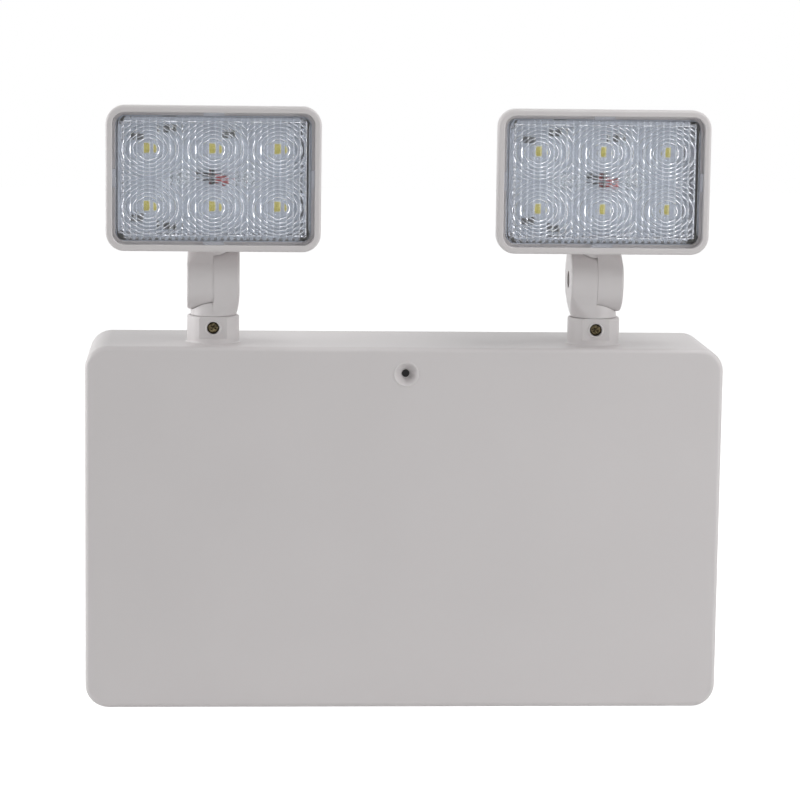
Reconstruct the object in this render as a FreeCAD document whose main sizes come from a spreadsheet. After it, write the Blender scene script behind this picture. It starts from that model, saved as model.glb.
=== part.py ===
import FreeCAD, Part
import math
import os
import re
import Sketcher

# Twin-head emergency light, in millimetres and degrees.
# Seen from the front, +X is to the right, +Y runs back into the wall and +Z is up.
# The origin is the centre of the back plate's wall face.
# Each lamp head is drawn about its tilt axis, on the right, and mirrored to the left.

doc = FreeCAD.newDocument("twin_head_emergency_light")

# Driving dimensions
sizes = {
    # Box
    "box_width": 280,
    "box_height": 161,
    "box_depth": 60,
    "corner_radius": 10,
    "edge_round": 2.3,
    "cover_wall": 2.5,
    "plate_thickness": 3,
    "lip_height": 6,
    "lip_thickness": 2,
    "cover_fit": 0.2,
    # Cover fastening
    "cover_screw_inset": 40,
    "cover_screw_setback": 9,
    "cover_screw_length": 10,
    "cover_post_width": 11,
    "cover_post_height": 9,
    "snap_x": 60,
    "snap_width": 12,
    "snap_length": 2.5,
    "snap_rise": 0.9,
    "snap_gap": 0.3,
    # Wall side
    "wall_hole_inset": 18,
    "wall_hole_drop": 22.5,
    "wall_hole_radius": 2.25,
    "cable_x": 20,
    "cable_lift": 32.5,
    "cable_radius": 10,
    # Collars and their lock screws
    "collar_inset": 55.7,
    "collar_setback": 40,
    "collar_radius": 11.5,
    "collar_height": 12,
    "collar_round": 0.8,
    "collar_foot": 1,
    "pad_depth": 1.7,
    "pad_height": 9.7,
    "lock_drop": 5,
    "lock_radius": 1.5,
    "lock_head_radius": 2.5,
    "lock_head_height": 1.7,
    "lock_hole_radius": 2.75,
    "lock_hole_depth": 1.9,
    "lock_hole_chamfer": 0.45,
    "lock_tip_gap": 0.4,
    "lock_side_gap": 0.35,
    # Swivel neck
    "spigot_radius": 6.5,
    "running_gap": 0.08,
    "shoulder_gap": 0.15,
    "spigot_tail": 4,
    "groove_depth": 1.9,
    "stop_rib_angle": 10,
    "wire_bore_radius": 3,
    "clip_thickness": 1.1,
    "clip_radius": 9.5,
    "clip_groove_depth": 0.9,
    "clip_gap": 0.25,
    "clip_side_gap": 0.1,
    # Tilt knuckle
    "pivot_rise": 16.5,
    "knuckle_radius": 14,
    "knuckle_width": 23,
    "knuckle_gap": 0.4,
    "knuckle_round": 1,
    "seam_gap": 0.1,
    "lip_set": 2,
    "lip_width": 1.4,
    "lip_rise": 0.8,
    "lip_gap": 0.3,
    "flare_drop": 7,
    "flare_ease": 2.5,
    "flare_step": 0.15,
    "flare_inset": 0.08,
    "neck_radius": 10,
    "pivot_radius": 2,
    "pivot_head_radius": 3.2,
    "pivot_head_height": 2.3,
    "pivot_recess_radius": 3.7,
    "pivot_recess_depth": 3.8,
    "pivot_tail": 0.3,
    "washer_thickness": 0.8,
    "washer_gap": 0.1,
    "nut_flats": 7,
    "nut_thickness": 3.2,
    "nut_recess_depth": 4.2,
    "nut_gap": 0.15,
    "thread_gap": 0.05,
    "wire_ring_inner": 4.5,
    "wire_ring_outer": 9.5,
    "wire_ring_depth": 4.2,
    "channel_radius": 2,
    "channel_x": 2.3,
    "channel_y": 6.8,
    # Lamp head
    "head_width": 92.5,
    "head_height": 62.5,
    "head_lift": 13.7,
    "head_reach": 28,
    "head_corner": 8,
    "rim_width": 2.8,
    "rim_depth": 7,
    "rim_step": 1,
    "rim_round": 1.2,
    "rim_inner_round": 0.4,
    "head_back_width": 76,
    "head_back_height": 48,
    "head_back_round": 5,
    "shell_wall": 2.2,
    "ledge_width": 2.45,
    "stub_overlap": 9,
    "stub_margin": 2,
    # Lens
    "lens_gap": 1.5,
    "lens_recess": 2,
    "lens_depth": 6,
    "lens_thickness": 2,
    "lens_skirt": 1.6,
    "lens_corner": 4,
    "tab_width": 9,
    "side_tab_width": 8,
    "tab_thickness": 3,
    "tab_set": 0.4,
    "tab_fit": 0.05,
    "tab_rest": 0.1,
    "lens_fit": 0.25,
    "prism_height": 0.8,
    "prism_pitch": 2.5,
    "prism_rings": 5,
    # LED board
    "led_pitch_x": 28,
    "led_pitch_z": 25,
    "led_size": 3.4,
    "led_height": 0.8,
    "led_board_thickness": 1.6,
    "led_board_margin": 1.3,
    "led_board_set": 2.5,
    "led_boss_radius": 3.2,
    "led_screw_x": 14,
    "led_screw_radius": 1.25,
    "led_screw_length": 8,
    "led_screw_head_radius": 2.4,
    "led_screw_head_height": 1.5,
    "led_wire_radius": 0.8,
    "led_wire_spread": 0.95,
    "led_wire_reach": 6.5,
    "led_wire_slant": 1.2,
    "led_wire_rise": 2.6,
    "led_wire_turn": 8,
    "led_wire_bend": 1.5,
    "resistor_length": 6.4,
    "resistor_width": 3.2,
    "resistor_height": 0.6,
    "resistor_x_far": 33,
    "resistor_z_far": 18.6,
    "resistor_x_mid": 19,
    "resistor_z_mid": 22,
    "resistor_x_near": 7,
    "resistor_z_near": 19.7,
    # Test button and switch
    "dish_drop": 11.6,
    "dish_radius": 4.65,
    "dish_depth": 3.6,
    "dish_floor_radius": 2,
    "dish_round": 0.4,
    "guide_radius": 5.5,
    "guide_length": 2.6,
    "button_radius": 1.65,
    "button_rise": 0.2,
    "button_gap": 0.07,
    "flange_radius": 2.8,
    "flange_thickness": 1,
    "flange_gap": 0.2,
    "press_travel": 0.8,
    "press_gap": 0.4,
    "switch_size": 6,
    "switch_height": 2.9,
    "plunger_radius": 1.5,
    "plunger_length": 2.4,
    "switch_well_depth": 2.2,
    # Control board
    "control_width": 110,
    "control_height": 46,
    "control_thickness": 1.6,
    "control_drop": 4.5,
    "control_hole_inset": 6,
    "control_boss_radius": 3.2,
    "control_pilot_depth": 7,
    "small_screw_radius": 1.5,
    "small_screw_head_radius": 2.8,
    "small_screw_head_height": 2,
    "small_screw_length": 6,
    "screw_hole_gap": 0.2,
    "relay_length": 19,
    "relay_width": 15,
    "relay_height": 15,
    "relay_x": -25,
    "capacitor_radius": 5,
    "capacitor_length": 16,
    "capacitor_spacing": 13,
    "terminal_length": 30,
    "terminal_width": 10,
    "terminal_height": 11,
    "terminal_x": 24,
    "terminal_lift": 8,
    "terminal_poles": 5,
    "terminal_well_radius": 2,
    "terminal_well_depth": 4,
    "connector_length": 8,
    "connector_width": 6,
    "connector_height": 7,
    "connector_inset": 12,
    # Battery
    "battery_length": 100,
    "battery_thickness": 47,
    "battery_round": 2,
    "battery_inset": 30,
    "battery_lift": 16.5,
    "cradle_wall": 2.5,
    "cradle_gap": 0.3,
    "cradle_height": 15,
    "cradle_depth": 28,
    "tab_terminal_width": 6.3,
    "tab_terminal_thickness": 0.8,
    "tab_terminal_height": 6,
    "tab_terminal_spacing": 16,
    "strap_width": 20,
    "strap_thickness": 1,
    "strap_foot": 13,
    "strap_stand": 5,
    "strap_rise": 28,
    "stand_radius": 4,
    # Transformer
    "transformer_inset": 62,
    "transformer_lift": 35.5,
    "transformer_stand": 12,
    "core_width": 44,
    "core_height": 37,
    "core_stack": 16,
    "leg_width": 14,
    "window_width": 8,
    "window_height": 22,
    "coil_gap": 0.25,
    "coil_overhang": 7.5,
    "lug_length": 11,
    "lug_height": 12,
    "lug_thickness": 1.5,
    # Leads
    "lead_radius": 1.2,
    "lead_bend": 6,
    "lead_step": 4,
    "lead_slack": 2.5,
    # Cuts start and end this far outside what they cut
    "overshoot": 0.5,
}

# Formulas worked out from the driving dimensions, used by name in what follows
derived = {
    "inner_x": "box_width/2 - cover_wall",
    "inner_z": "box_height/2 - cover_wall",
    "front_inside": "box_depth - cover_wall",
    "lip_x": "inner_x - cover_fit",
    "lip_z": "inner_z - cover_fit",
    "lip_corner": "corner_radius - cover_wall - cover_fit",
    "cover_screw_x": "box_width/2 - cover_screw_inset",
    "wall_hole_x": "box_width/2 - wall_hole_inset",
    "wall_hole_z": "box_height/2 - wall_hole_drop",
    "cable_z": "cable_lift - box_height/2",
    "collar_x": "box_width/2 - collar_inset",
    "collar_top": "box_height/2 + collar_height",
    "pad_face": "collar_setback + collar_radius - pad_depth",
    "lock_floor": "pad_face - lock_hole_depth",
    "pivot_z": "collar_top + pivot_rise",
    "groove_floor": "spigot_radius - groove_depth",
    "groove_width": "2*(lock_radius + lock_side_gap)",
    "cheek_width": "knuckle_width/2 - seam_gap/2",
    "seat_radius": "knuckle_radius + knuckle_gap",
    "lip_outer": "knuckle_radius - lip_set",
    "lip_inner": "lip_outer - lip_width",
    "flare_width": "knuckle_width/2 - flare_inset",
    "flare_depth": "sqrt(knuckle_radius^2 - flare_drop^2) - flare_inset",
    "flare_end": "pivot_rise - shoulder_gap",
    "flare_round": "neck_radius + flare_step",
    "wall_under": "pivot_rise + collar_height + cover_wall",
    "spigot_end": "wall_under + spigot_tail",
    "clip_top": "wall_under + clip_gap",
    "head_z": "head_lift + head_height/2",
    "head_back": "neck_radius + stub_margin",
    "opening_x": "head_width/2 - rim_width",
    "opening_z": "head_height/2 - rim_width",
    "ledge_front": "head_reach - lens_recess - lens_depth",
    "cavity_x": "opening_x - ledge_width",
    "cavity_z": "opening_z - ledge_width",
    "cavity_end": "head_back - shell_wall",
    "cavity_end_x": "head_back_width/2 - shell_wall",
    "cavity_end_z": "head_back_height/2 - shell_wall",
    "lens_x": "opening_x - lens_gap",
    "lens_z": "opening_z - lens_gap",
    "lens_front": "head_reach - lens_recess",
    "lens_back": "lens_front - lens_thickness",
    "shelf_front": "lens_front - tab_thickness - tab_rest",
    "led_board_front": "ledge_front - led_board_set",
    "led_board_back": "led_board_front - led_board_thickness",
    "board_share": "(ledge_front - led_board_back)/(ledge_front + cavity_end)",
    "led_board_x": "cavity_x - (cavity_x - cavity_end_x)*board_share - led_board_margin",
    "led_board_z": "cavity_z - (cavity_z - cavity_end_z)*board_share - led_board_margin",
    "recess_floor": "knuckle_width/2 - pivot_recess_depth",
    "washer_face": "recess_floor + washer_gap",
    "pivot_seat": "washer_face + washer_thickness",
    "nut_seat": "knuckle_width/2 - nut_recess_depth",
    "dish_z": "box_height/2 - dish_drop",
    "guide_back": "box_depth - dish_depth - guide_length",
    "flange_front": "guide_back - flange_gap",
    "flange_back": "flange_front - flange_thickness",
    "switch_front": "flange_back - press_travel - press_gap",
    "control_front": "switch_front - switch_height",
    "control_back": "control_front - control_thickness",
    "control_top": "inner_z - control_drop",
    "control_middle": "control_top - control_height/2",
    "control_hole_x": "control_width/2 - control_hole_inset",
    "control_hole_z": "control_height/2 - control_hole_inset",
    "screw_hole": "small_screw_radius + screw_hole_gap",
    "pilot_hole": "small_screw_radius + thread_gap",
    "battery_floor": "battery_lift - box_height/2",
    "battery_left": "battery_inset - box_width/2",
    "battery_right": "battery_left + battery_length",
    "battery_x": "battery_left + battery_length/2",
    "tab_top": "terminal_entry - 2*lead_bend - lead_step - lead_slack",
    "battery_top": "tab_top - tab_terminal_height",
    "battery_front": "plate_thickness + battery_thickness",
    "strap_inner": "battery_length/2 + cradle_gap",
    "strap_seat": "plate_thickness + strap_stand",
    "strap_z": "battery_floor + strap_rise",
    "strap_hole": "strap_inner + strap_thickness + strap_foot/2",
    "transformer_x": "box_width/2 - transformer_inset",
    "transformer_z": "transformer_lift - box_height/2",
    "core_back": "plate_thickness + transformer_stand",
    "core_front": "core_back + core_stack",
    "lug_hole": "core_width/2 + lug_length/2",
    "coil_back": "core_back - coil_overhang",
    "coil_front": "core_front + coil_overhang",
    "terminal_z": "control_middle - control_height/2 + terminal_lift",
    "terminal_entry": "terminal_z - terminal_width/2",
    "connector_x": "control_width/2 - connector_inset",
}

sheet = doc.addObject("Spreadsheet::Sheet", "sheet")
for row, (alias, number) in enumerate(sizes.items(), start=1):
    sheet.set(f"A{row}", alias)
    sheet.set(f"B{row}", str(number))
    sheet.setAlias(f"B{row}", alias)
doc.recompute()

nodes = []
directions = {
    "+x": FreeCAD.Vector(1, 0, 0),
    "-x": FreeCAD.Vector(-1, 0, 0),
    "+y": FreeCAD.Vector(0, 1, 0),
    "-y": FreeCAD.Vector(0, -1, 0),
    "+z": FreeCAD.Vector(0, 0, 1),
    "-z": FreeCAD.Vector(0, 0, -1),
}
tolerance = 0.01


# Formulas

def formula(text):
    def spell_out(match):
        word = match.group(0)
        if word in sizes:
            return "sheet." + word
        if word in derived:
            return "(" + formula(derived[word]) + ")"
        return word
    return re.sub(r"[a-z][a-z_0-9]*", spell_out, text)


def value(text):
    return float(sheet.evalExpression(formula(text)))


def bind(item, path, text):
    item.setExpression(path, formula(text))


def place(item, x, y, z):
    for axis, text in zip("xyz", (x, y, z)):
        bind(item, "Placement.Base." + axis, text)


def node(item, label):
    item.Label = label
    nodes.append(item)
    return item


# Sketches

def new_body(name):
    return doc.addObject("PartDesign::Body", name)


def origin_feature(body, role):
    return next(item for item in body.Origin.OriginFeatures if item.Role == role)


def sketch_on(body, plane, offset, name, shift_x="0", shift_y="0"):
    sketch = body.newObject("Sketcher::SketchObject", name)
    sketch.AttachmentSupport = (origin_feature(body, plane), [""])
    sketch.MapMode = "FlatFace"
    for axis, text in zip("xyz", (shift_x, shift_y, offset)):
        bind(sketch, "AttachmentOffset.Base." + axis, text)
    return sketch


def pin(sketch, geometry, point, x, y):
    for kind, text in (("DistanceX", x), ("DistanceY", y)):
        number = sketch.addConstraint(Sketcher.Constraint(kind, -1, 1, geometry, point, value(text)))
        bind(sketch, f"Constraints[{number}]", text)


def outline(sketch, points):
    corners = [FreeCAD.Vector(value(x), value(y), 0) for x, y in points]
    ends = corners[1:] + corners[:1]
    lines = [sketch.addGeometry(Part.LineSegment(start, end)) for start, end in zip(corners, ends)]
    for first, second in zip(lines, lines[1:] + lines[:1]):
        sketch.addConstraint(Sketcher.Constraint("Coincident", first, 2, second, 1))
    for line, (x, y) in zip(lines, points):
        pin(sketch, line, 1, x, y)


def rectangle(sketch, x_low, x_high, y_low, y_high):
    outline(sketch, [(x_low, y_low), (x_high, y_low), (x_high, y_high), (x_low, y_high)])


def middle_rectangle(sketch, x, y, half_width, half_height):
    rectangle(sketch, f"{x} - ({half_width})", f"{x} + {half_width}",
              f"{y} - ({half_height})", f"{y} + {half_height}")


def rounded_rectangle(sketch, x, y, half_width, half_height, radius):
    arcs = []
    for turn_start, (side_x, side_y) in zip((0, 90, 180, 270), ((1, 1), (-1, 1), (-1, -1), (1, -1))):
        on_side = (f"{x} + {side_x}*({half_width})", f"{y} + {side_y}*({half_height} - ({radius}))")
        on_top = (f"{x} + {side_x}*({half_width} - ({radius}))", f"{y} + {side_y}*({half_height})")
        centre = FreeCAD.Vector(value(on_top[0]), value(on_side[1]), 0)
        ring = Part.Circle(centre, directions["+z"], value(radius))
        first = math.radians(turn_start)
        arc = sketch.addGeometry(Part.ArcOfCircle(ring, first, first + math.pi/2))
        ends = (on_side, on_top) if side_x == side_y else (on_top, on_side)
        for point, end in zip((1, 2), ends):
            pin(sketch, arc, point, *end)
        number = sketch.addConstraint(Sketcher.Constraint("Radius", arc, value(radius)))
        bind(sketch, f"Constraints[{number}]", radius)
        arcs.append(arc)
    for arc, following in zip(arcs, arcs[1:] + arcs[:1]):
        start = sketch.getPoint(arc, 2)
        end = sketch.getPoint(following, 1)
        line = sketch.addGeometry(Part.LineSegment(start, end))
        sketch.addConstraint(Sketcher.Constraint("Coincident", arc, 2, line, 1))
        sketch.addConstraint(Sketcher.Constraint("Coincident", line, 2, following, 1))


def circle(sketch, x, y, radius):
    centre = FreeCAD.Vector(value(x), value(y), 0)
    ring = sketch.addGeometry(Part.Circle(centre, FreeCAD.Vector(0, 0, 1), value(radius)))
    pin(sketch, ring, 3, x, y)
    number = sketch.addConstraint(Sketcher.Constraint("Radius", ring, value(radius)))
    bind(sketch, f"Constraints[{number}]", radius)


# Features

def add(body, kind, name, profile, flags=(), **formulas):
    item = body.newObject("PartDesign::" + kind, name)
    item.Profile = profile
    for flag in flags:
        setattr(item, flag, True)
    for path, text in formulas.items():
        bind(item, path, text)
    body.Tip = item
    return item


def turn(body, kind, name, profile, axis="H_Axis", flags=(), angle="360"):
    item = add(body, kind, name, profile, flags, Angle=angle)
    item.ReferenceAxis = (profile, [axis])
    return item


def loft(body, kind, name, first, second):
    item = add(body, kind, name, first)
    item.Sections = [second]
    item.Ruled = True
    return item


def dress(body, kind, name, path, size, chosen):
    doc.recompute()
    base = body.Tip
    edges = [f"Edge{count}" for count, edge in enumerate(base.Shape.Edges, start=1) if chosen(edge)]
    if not edges:
        raise RuntimeError(f"{name} found no edge")
    item = body.newObject("PartDesign::" + kind, name)
    item.Base = (base, edges)
    bind(item, path, size)
    body.Tip = item
    return item


def fillet(body, name, radius, chosen):
    return dress(body, "Fillet", name, "Radius", radius, chosen)


def chamfer(body, name, size, chosen):
    return dress(body, "Chamfer", name, "Size", size, chosen)


# Edges are picked by where they lie

def runs_along(edge, axis):
    ends = edge.Vertexes
    if len(ends) < 2:
        return False
    span = ends[1].Point - ends[0].Point
    return abs(span.dot(directions["+" + axis])) > 0.9*span.Length > 0


def lies_at(edge, axis, text):
    box = edge.BoundBox
    low = getattr(box, axis.upper() + "Min")
    high = getattr(box, axis.upper() + "Max")
    place_wanted = value(text)
    return abs(low - place_wanted) < tolerance and abs(high - place_wanted) < tolerance


def is_ring(edge, radius):
    return hasattr(edge.Curve, "Radius") and abs(edge.Curve.Radius - value(radius)) < tolerance


# Primitives

def block(name, x_span, y_span, z_span):
    item = doc.addObject("Part::Box", name)
    for path, (low, high) in zip(("Length", "Width", "Height"), (x_span, y_span, z_span)):
        bind(item, path, f"({high}) - ({low})")
    place(item, x_span[0], y_span[0], z_span[0])
    return item


def rod(name, direction, start, radius, length):
    item = doc.addObject("Part::Cylinder", name)
    bind(item, "Radius", radius)
    bind(item, "Height", length)
    item.Placement.Rotation = FreeCAD.Rotation(directions["+z"], directions[direction])
    place(item, *start)
    return item


def cut(name, base, tools):
    item = doc.addObject("Part::Cut", name)
    item.Base = base
    item.Tool = tools[0] if len(tools) == 1 else fuse(name + "_tools", tools)
    return item


def fuse(name, items):
    item = doc.addObject("Part::MultiFuse", name)
    item.Shapes = items
    return item


def group(name, items):
    item = doc.addObject("Part::Compound", name)
    item.Links = items
    return item


def screw(name, direction, seat, head, shank):
    backward = {"+": "-", "-": "+"}[direction[0]] + direction[1]
    head_rod = rod(name + "_head", backward, seat, *head)
    shank_rod = rod(name + "_shank", direction, seat, *shank)
    return fuse(name, [head_rod, shank_rod])


small_head = ("small_screw_head_radius", "small_screw_head_height")


def tube(name, points, radius, bend):
    corners = [FreeCAD.Vector(*(value(text) for text in point)) for point in points]
    edges = []
    start = corners[0]
    for before, corner, after in zip(corners, corners[1:], corners[2:]):
        toward = (before - corner).normalize()
        away = (after - corner).normalize()
        half_turn = (math.pi - toward.getAngle(away))/2
        setback = value(bend)*math.tan(half_turn)
        arc_start = corner + toward*setback
        arc_end = corner + away*setback
        centre = corner + (toward + away).normalize()*(value(bend)/math.cos(half_turn))
        arc_middle = centre + (corner - centre).normalize()*value(bend)
        edges.append(Part.LineSegment(start, arc_start).toShape())
        edges.append(Part.Arc(arc_start, arc_middle, arc_end).toShape())
        start = arc_end
    edges.append(Part.LineSegment(start, corners[-1]).toShape())
    ring = Part.Circle(corners[0], corners[1] - corners[0], value(radius)).toShape()
    item = doc.addObject("Part::Feature", name)
    item.Shape = Part.Wire(edges).makePipeShell([Part.Wire(ring)], True, False)
    return item


# Front cover: moulded shell with the two collars on its top wall

def front_cover():
    body = new_body("cover_body")
    shape = sketch_on(body, "XZ_Plane", "plate_thickness", "cover_outline")
    rounded_rectangle(shape, "0", "0", "box_width/2", "box_height/2", "corner_radius")
    add(body, "Pad", "cover_block", shape, Length="box_depth - plate_thickness")
    fillet(body, "cover_front_edge", "edge_round", lambda edge: lies_at(edge, "y", "-box_depth"))
    collar_profile(body)
    cover_cavity(body)
    collar_bore(body)
    cover_fastening(body)
    test_dish(body)
    board_bosses(body)
    return node(body, "front_cover")


def collar_profile(body):
    rings = sketch_on(body, "XY_Plane", "inner_z", "collar_rings")
    for side in ("-", ""):
        circle(rings, side + "collar_x", "-collar_setback", "collar_radius")
    add(body, "Pad", "collars", rings, Length="collar_height + cover_wall")
    fillet(body, "collar_top_round", "collar_round", lambda edge: lies_at(edge, "z", "collar_top"))
    fillet(body, "collar_foot_round", "collar_foot",
           lambda edge: is_ring(edge, "collar_radius") and lies_at(edge, "z", "box_height/2"))


def cover_cavity(body):
    room = sketch_on(body, "XZ_Plane", "plate_thickness", "cover_room")
    rounded_rectangle(room, "0", "0", "inner_x", "inner_z", "corner_radius - cover_wall")
    add(body, "Pocket", "cover_cavity", room, ["Reversed"], Length="front_inside - plate_thickness")


def collar_bore(body):
    bores = sketch_on(body, "XY_Plane", "collar_top", "collar_bores")
    pads = sketch_on(body, "XY_Plane", "collar_top", "collar_pads")
    heads = sketch_on(body, "XZ_Plane", "pad_face", "lock_heads")
    threads = sketch_on(body, "XZ_Plane", "lock_floor", "lock_threads")
    for side in ("-", ""):
        x = side + "collar_x"
        circle(bores, x, "-collar_setback", "spigot_radius + running_gap")
        rectangle(pads, f"{x} - collar_radius", f"{x} + collar_radius",
                  "-collar_setback - collar_radius - overshoot", "-pad_face")
        circle(heads, x, "collar_top - lock_drop", "lock_hole_radius")
        circle(threads, x, "collar_top - lock_drop", "lock_radius + thread_gap")
    add(body, "Pocket", "collar_bore", bores, Length="collar_height + cover_wall + overshoot")
    add(body, "Pocket", "collar_flat", pads, Length="pad_height")
    add(body, "Pocket", "lock_head_hole", heads, Length="lock_hole_depth")
    add(body, "Pocket", "lock_thread_hole", threads, Length="lock_floor - collar_setback")
    chamfer(body, "lock_hole_edge", "lock_hole_chamfer",
            lambda edge: is_ring(edge, "lock_hole_radius") and lies_at(edge, "y", "-pad_face"))


def cover_fastening(body):
    holes = sketch_on(body, "XY_Plane", "-box_height/2", "cover_screw_holes")
    snaps = sketch_on(body, "XY_Plane", "inner_z - cover_wall", "snap_pockets")
    for side in ("-", ""):
        circle(holes, side + "cover_screw_x", "-cover_screw_setback", "screw_hole")
        middle_rectangle(snaps, side + "snap_x", "-plate_thickness - lip_height/2",
                         "snap_width/2 + snap_gap", "snap_length/2 + snap_gap")
    add(body, "Pocket", "cover_screw_hole", holes, ["Reversed"], Length="cover_wall + overshoot")
    chamfer(body, "cover_countersink", "small_screw_head_radius - small_screw_radius",
            lambda edge: is_ring(edge, "screw_hole") and lies_at(edge, "z", "-box_height/2"))
    add(body, "Pocket", "snap_pocket", snaps, ["Reversed"], Length="cover_wall + snap_rise + snap_gap")


def test_dish(body):
    boss = sketch_on(body, "XZ_Plane", "guide_back", "guide_boss_outline")
    circle(boss, "0", "dish_z", "guide_radius")
    add(body, "Pad", "guide_boss", boss, Length="front_inside - guide_back + overshoot")
    dish = sketch_on(body, "YZ_Plane", "0", "dish_profile", shift_y="dish_z")
    outline(dish, [
        ("-box_depth - overshoot", "0"),
        ("-box_depth - overshoot", "dish_radius"),
        ("-box_depth", "dish_radius"),
        ("dish_depth - box_depth", "dish_floor_radius"),
        ("dish_depth - box_depth", "button_radius + button_gap"),
        ("overshoot - guide_back", "button_radius + button_gap"),
        ("overshoot - guide_back", "0"),
    ])
    turn(body, "Groove", "test_dish", dish)
    fillet(body, "dish_edge", "dish_round",
           lambda edge: is_ring(edge, "dish_radius") and lies_at(edge, "y", "-box_depth"))


def board_bosses(body):
    bosses = sketch_on(body, "XZ_Plane", "control_front", "board_boss_rings")
    pilots = sketch_on(body, "XZ_Plane", "control_front", "board_boss_pilots")
    for x, z in control_holes():
        circle(bosses, x, z, "control_boss_radius")
        circle(pilots, x, z, "pilot_hole")
    add(body, "Pad", "board_bosses", bosses, Length="front_inside - control_front + overshoot")
    add(body, "Pocket", "board_pilots", pilots, ["Reversed"], Length="control_pilot_depth")


def control_holes():
    rows = ("control_middle - control_hole_z", "control_middle + control_hole_z")
    return [(side + "control_hole_x", row) for side in ("-", "") for row in rows]


# Back plate: lip, snap ridges, screw posts, cradle and stands on a flat plate

def back_plate():
    body = new_body("plate_body")
    shape = sketch_on(body, "XZ_Plane", "0", "plate_outline")
    rounded_rectangle(shape, "0", "0", "box_width/2", "box_height/2", "corner_radius")
    add(body, "Pad", "plate", shape, Length="plate_thickness")
    plate_lip(body)
    cover_posts(body)
    battery_cradle(body)
    plate_stands(body)
    plate_holes(body)
    return node(body, "back_plate")


def plate_lip(body):
    lip = sketch_on(body, "XZ_Plane", "plate_thickness", "lip_outline")
    rounded_rectangle(lip, "0", "0", "lip_x", "lip_z", "lip_corner")
    rounded_rectangle(lip, "0", "0", "lip_x - lip_thickness", "lip_z - lip_thickness",
                      "lip_corner - lip_thickness")
    add(body, "Pad", "lip", lip, Length="lip_height")
    ridges = sketch_on(body, "XY_Plane", "lip_z - lip_thickness", "snap_ridge_outline")
    for side in ("-", ""):
        middle_rectangle(ridges, side + "snap_x", "-plate_thickness - lip_height/2",
                         "snap_width/2", "snap_length/2")
    add(body, "Pad", "snap_ridges", ridges, Length="lip_thickness + snap_rise")


def cover_posts(body):
    posts = sketch_on(body, "XZ_Plane", "plate_thickness", "cover_post_outline")
    pilots = sketch_on(body, "XY_Plane", "-lip_z", "cover_post_pilots")
    for side in ("-", ""):
        x = side + "cover_screw_x"
        rectangle(posts, f"{x} - cover_post_width/2", f"{x} + cover_post_width/2",
                  "-lip_z", "cover_post_height - lip_z")
        circle(pilots, x, "-cover_screw_setback", "pilot_hole")
    add(body, "Pad", "cover_posts", posts,
        Length="cover_screw_setback - plate_thickness + cover_post_width/2")
    add(body, "Pocket", "cover_pilots", pilots, ["Reversed"], Length="cover_post_height")


def battery_cradle(body):
    cradle = sketch_on(body, "XZ_Plane", "plate_thickness", "cradle_outline")
    inner_left = "battery_left - cradle_gap"
    inner_right = "battery_right + cradle_gap"
    outline(cradle, [
        (f"{inner_left} - cradle_wall", "battery_floor - cradle_wall"),
        (f"{inner_right} + cradle_wall", "battery_floor - cradle_wall"),
        (f"{inner_right} + cradle_wall", "battery_floor + cradle_height"),
        (inner_right, "battery_floor + cradle_height"),
        (inner_right, "battery_floor"),
        (inner_left, "battery_floor"),
        (inner_left, "battery_floor + cradle_height"),
        (f"{inner_left} - cradle_wall", "battery_floor + cradle_height"),
    ])
    add(body, "Pad", "battery_cradle", cradle, Length="cradle_depth")


def plate_stands(body):
    kinds = (
        ("strap", "strap_stand", "battery_x", "strap_hole", "strap_z"),
        ("transformer", "transformer_stand", "transformer_x", "lug_hole", "transformer_z"),
    )
    for name, height, middle, spread, z in kinds:
        stands = sketch_on(body, "XZ_Plane", "plate_thickness", name + "_stand_rings")
        pilots = sketch_on(body, "XZ_Plane", "plate_thickness/2", name + "_stand_pilots")
        for sign in ("-", "+"):
            circle(stands, f"{middle} {sign} ({spread})", z, "stand_radius")
            circle(pilots, f"{middle} {sign} ({spread})", z, "pilot_hole")
        add(body, "Pad", name + "_stands", stands, Length=height)
        add(body, "Pocket", name + "_pilots", pilots, ["Reversed"],
            Length=f"{height} + plate_thickness/2 + overshoot")


def plate_holes(body):
    holes = sketch_on(body, "XZ_Plane", "plate_thickness", "wall_hole_rings")
    for x in ("-wall_hole_x", "wall_hole_x"):
        for z in ("-wall_hole_z", "wall_hole_z"):
            circle(holes, x, z, "wall_hole_radius")
    circle(holes, "cable_x", "cable_z", "cable_radius")
    add(body, "Pocket", "plate_holes", holes, Length="plate_thickness + overshoot")


def cover_screws():
    screws = []
    for side in ("-", ""):
        name = "cover_screw" + side.replace("-", "_left")
        seat = (side + "cover_screw_x", "-cover_screw_setback", "screw_hole_gap - box_height/2")
        shank = rod(name + "_shank", "+z", seat, "small_screw_radius", "cover_screw_length")
        head = doc.addObject("Part::Cone", name + "_head")
        bind(head, "Radius1", "small_screw_head_radius")
        bind(head, "Radius2", "small_screw_radius")
        bind(head, "Height", "small_screw_head_radius - small_screw_radius")
        place(head, *seat)
        screws.append(fuse(name, [head, shank]))
    return node(group("cover_screw_group", screws), "cover_screws")


def lock_screws():
    screws = []
    for side in ("-", ""):
        name = "lock_screw" + side.replace("-", "_left")
        seat = (side + "collar_x", "-lock_floor", "collar_top - lock_drop")
        length = "lock_floor - collar_setback - groove_floor - lock_tip_gap"
        head = ("lock_head_radius", "lock_head_height")
        screws.append(screw(name, "+y", seat, head, ("lock_radius", length)))
    return node(group("lock_screw_group", screws), "lock_screws")


# Swivel neck: spigot, neck and the inner cheek of the tilt knuckle, about the tilt axis

pivot = ("collar_x", "-collar_setback", "pivot_z")


# Below its disc a cheek narrows through four sections to the neck's round, on its own half only

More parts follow.
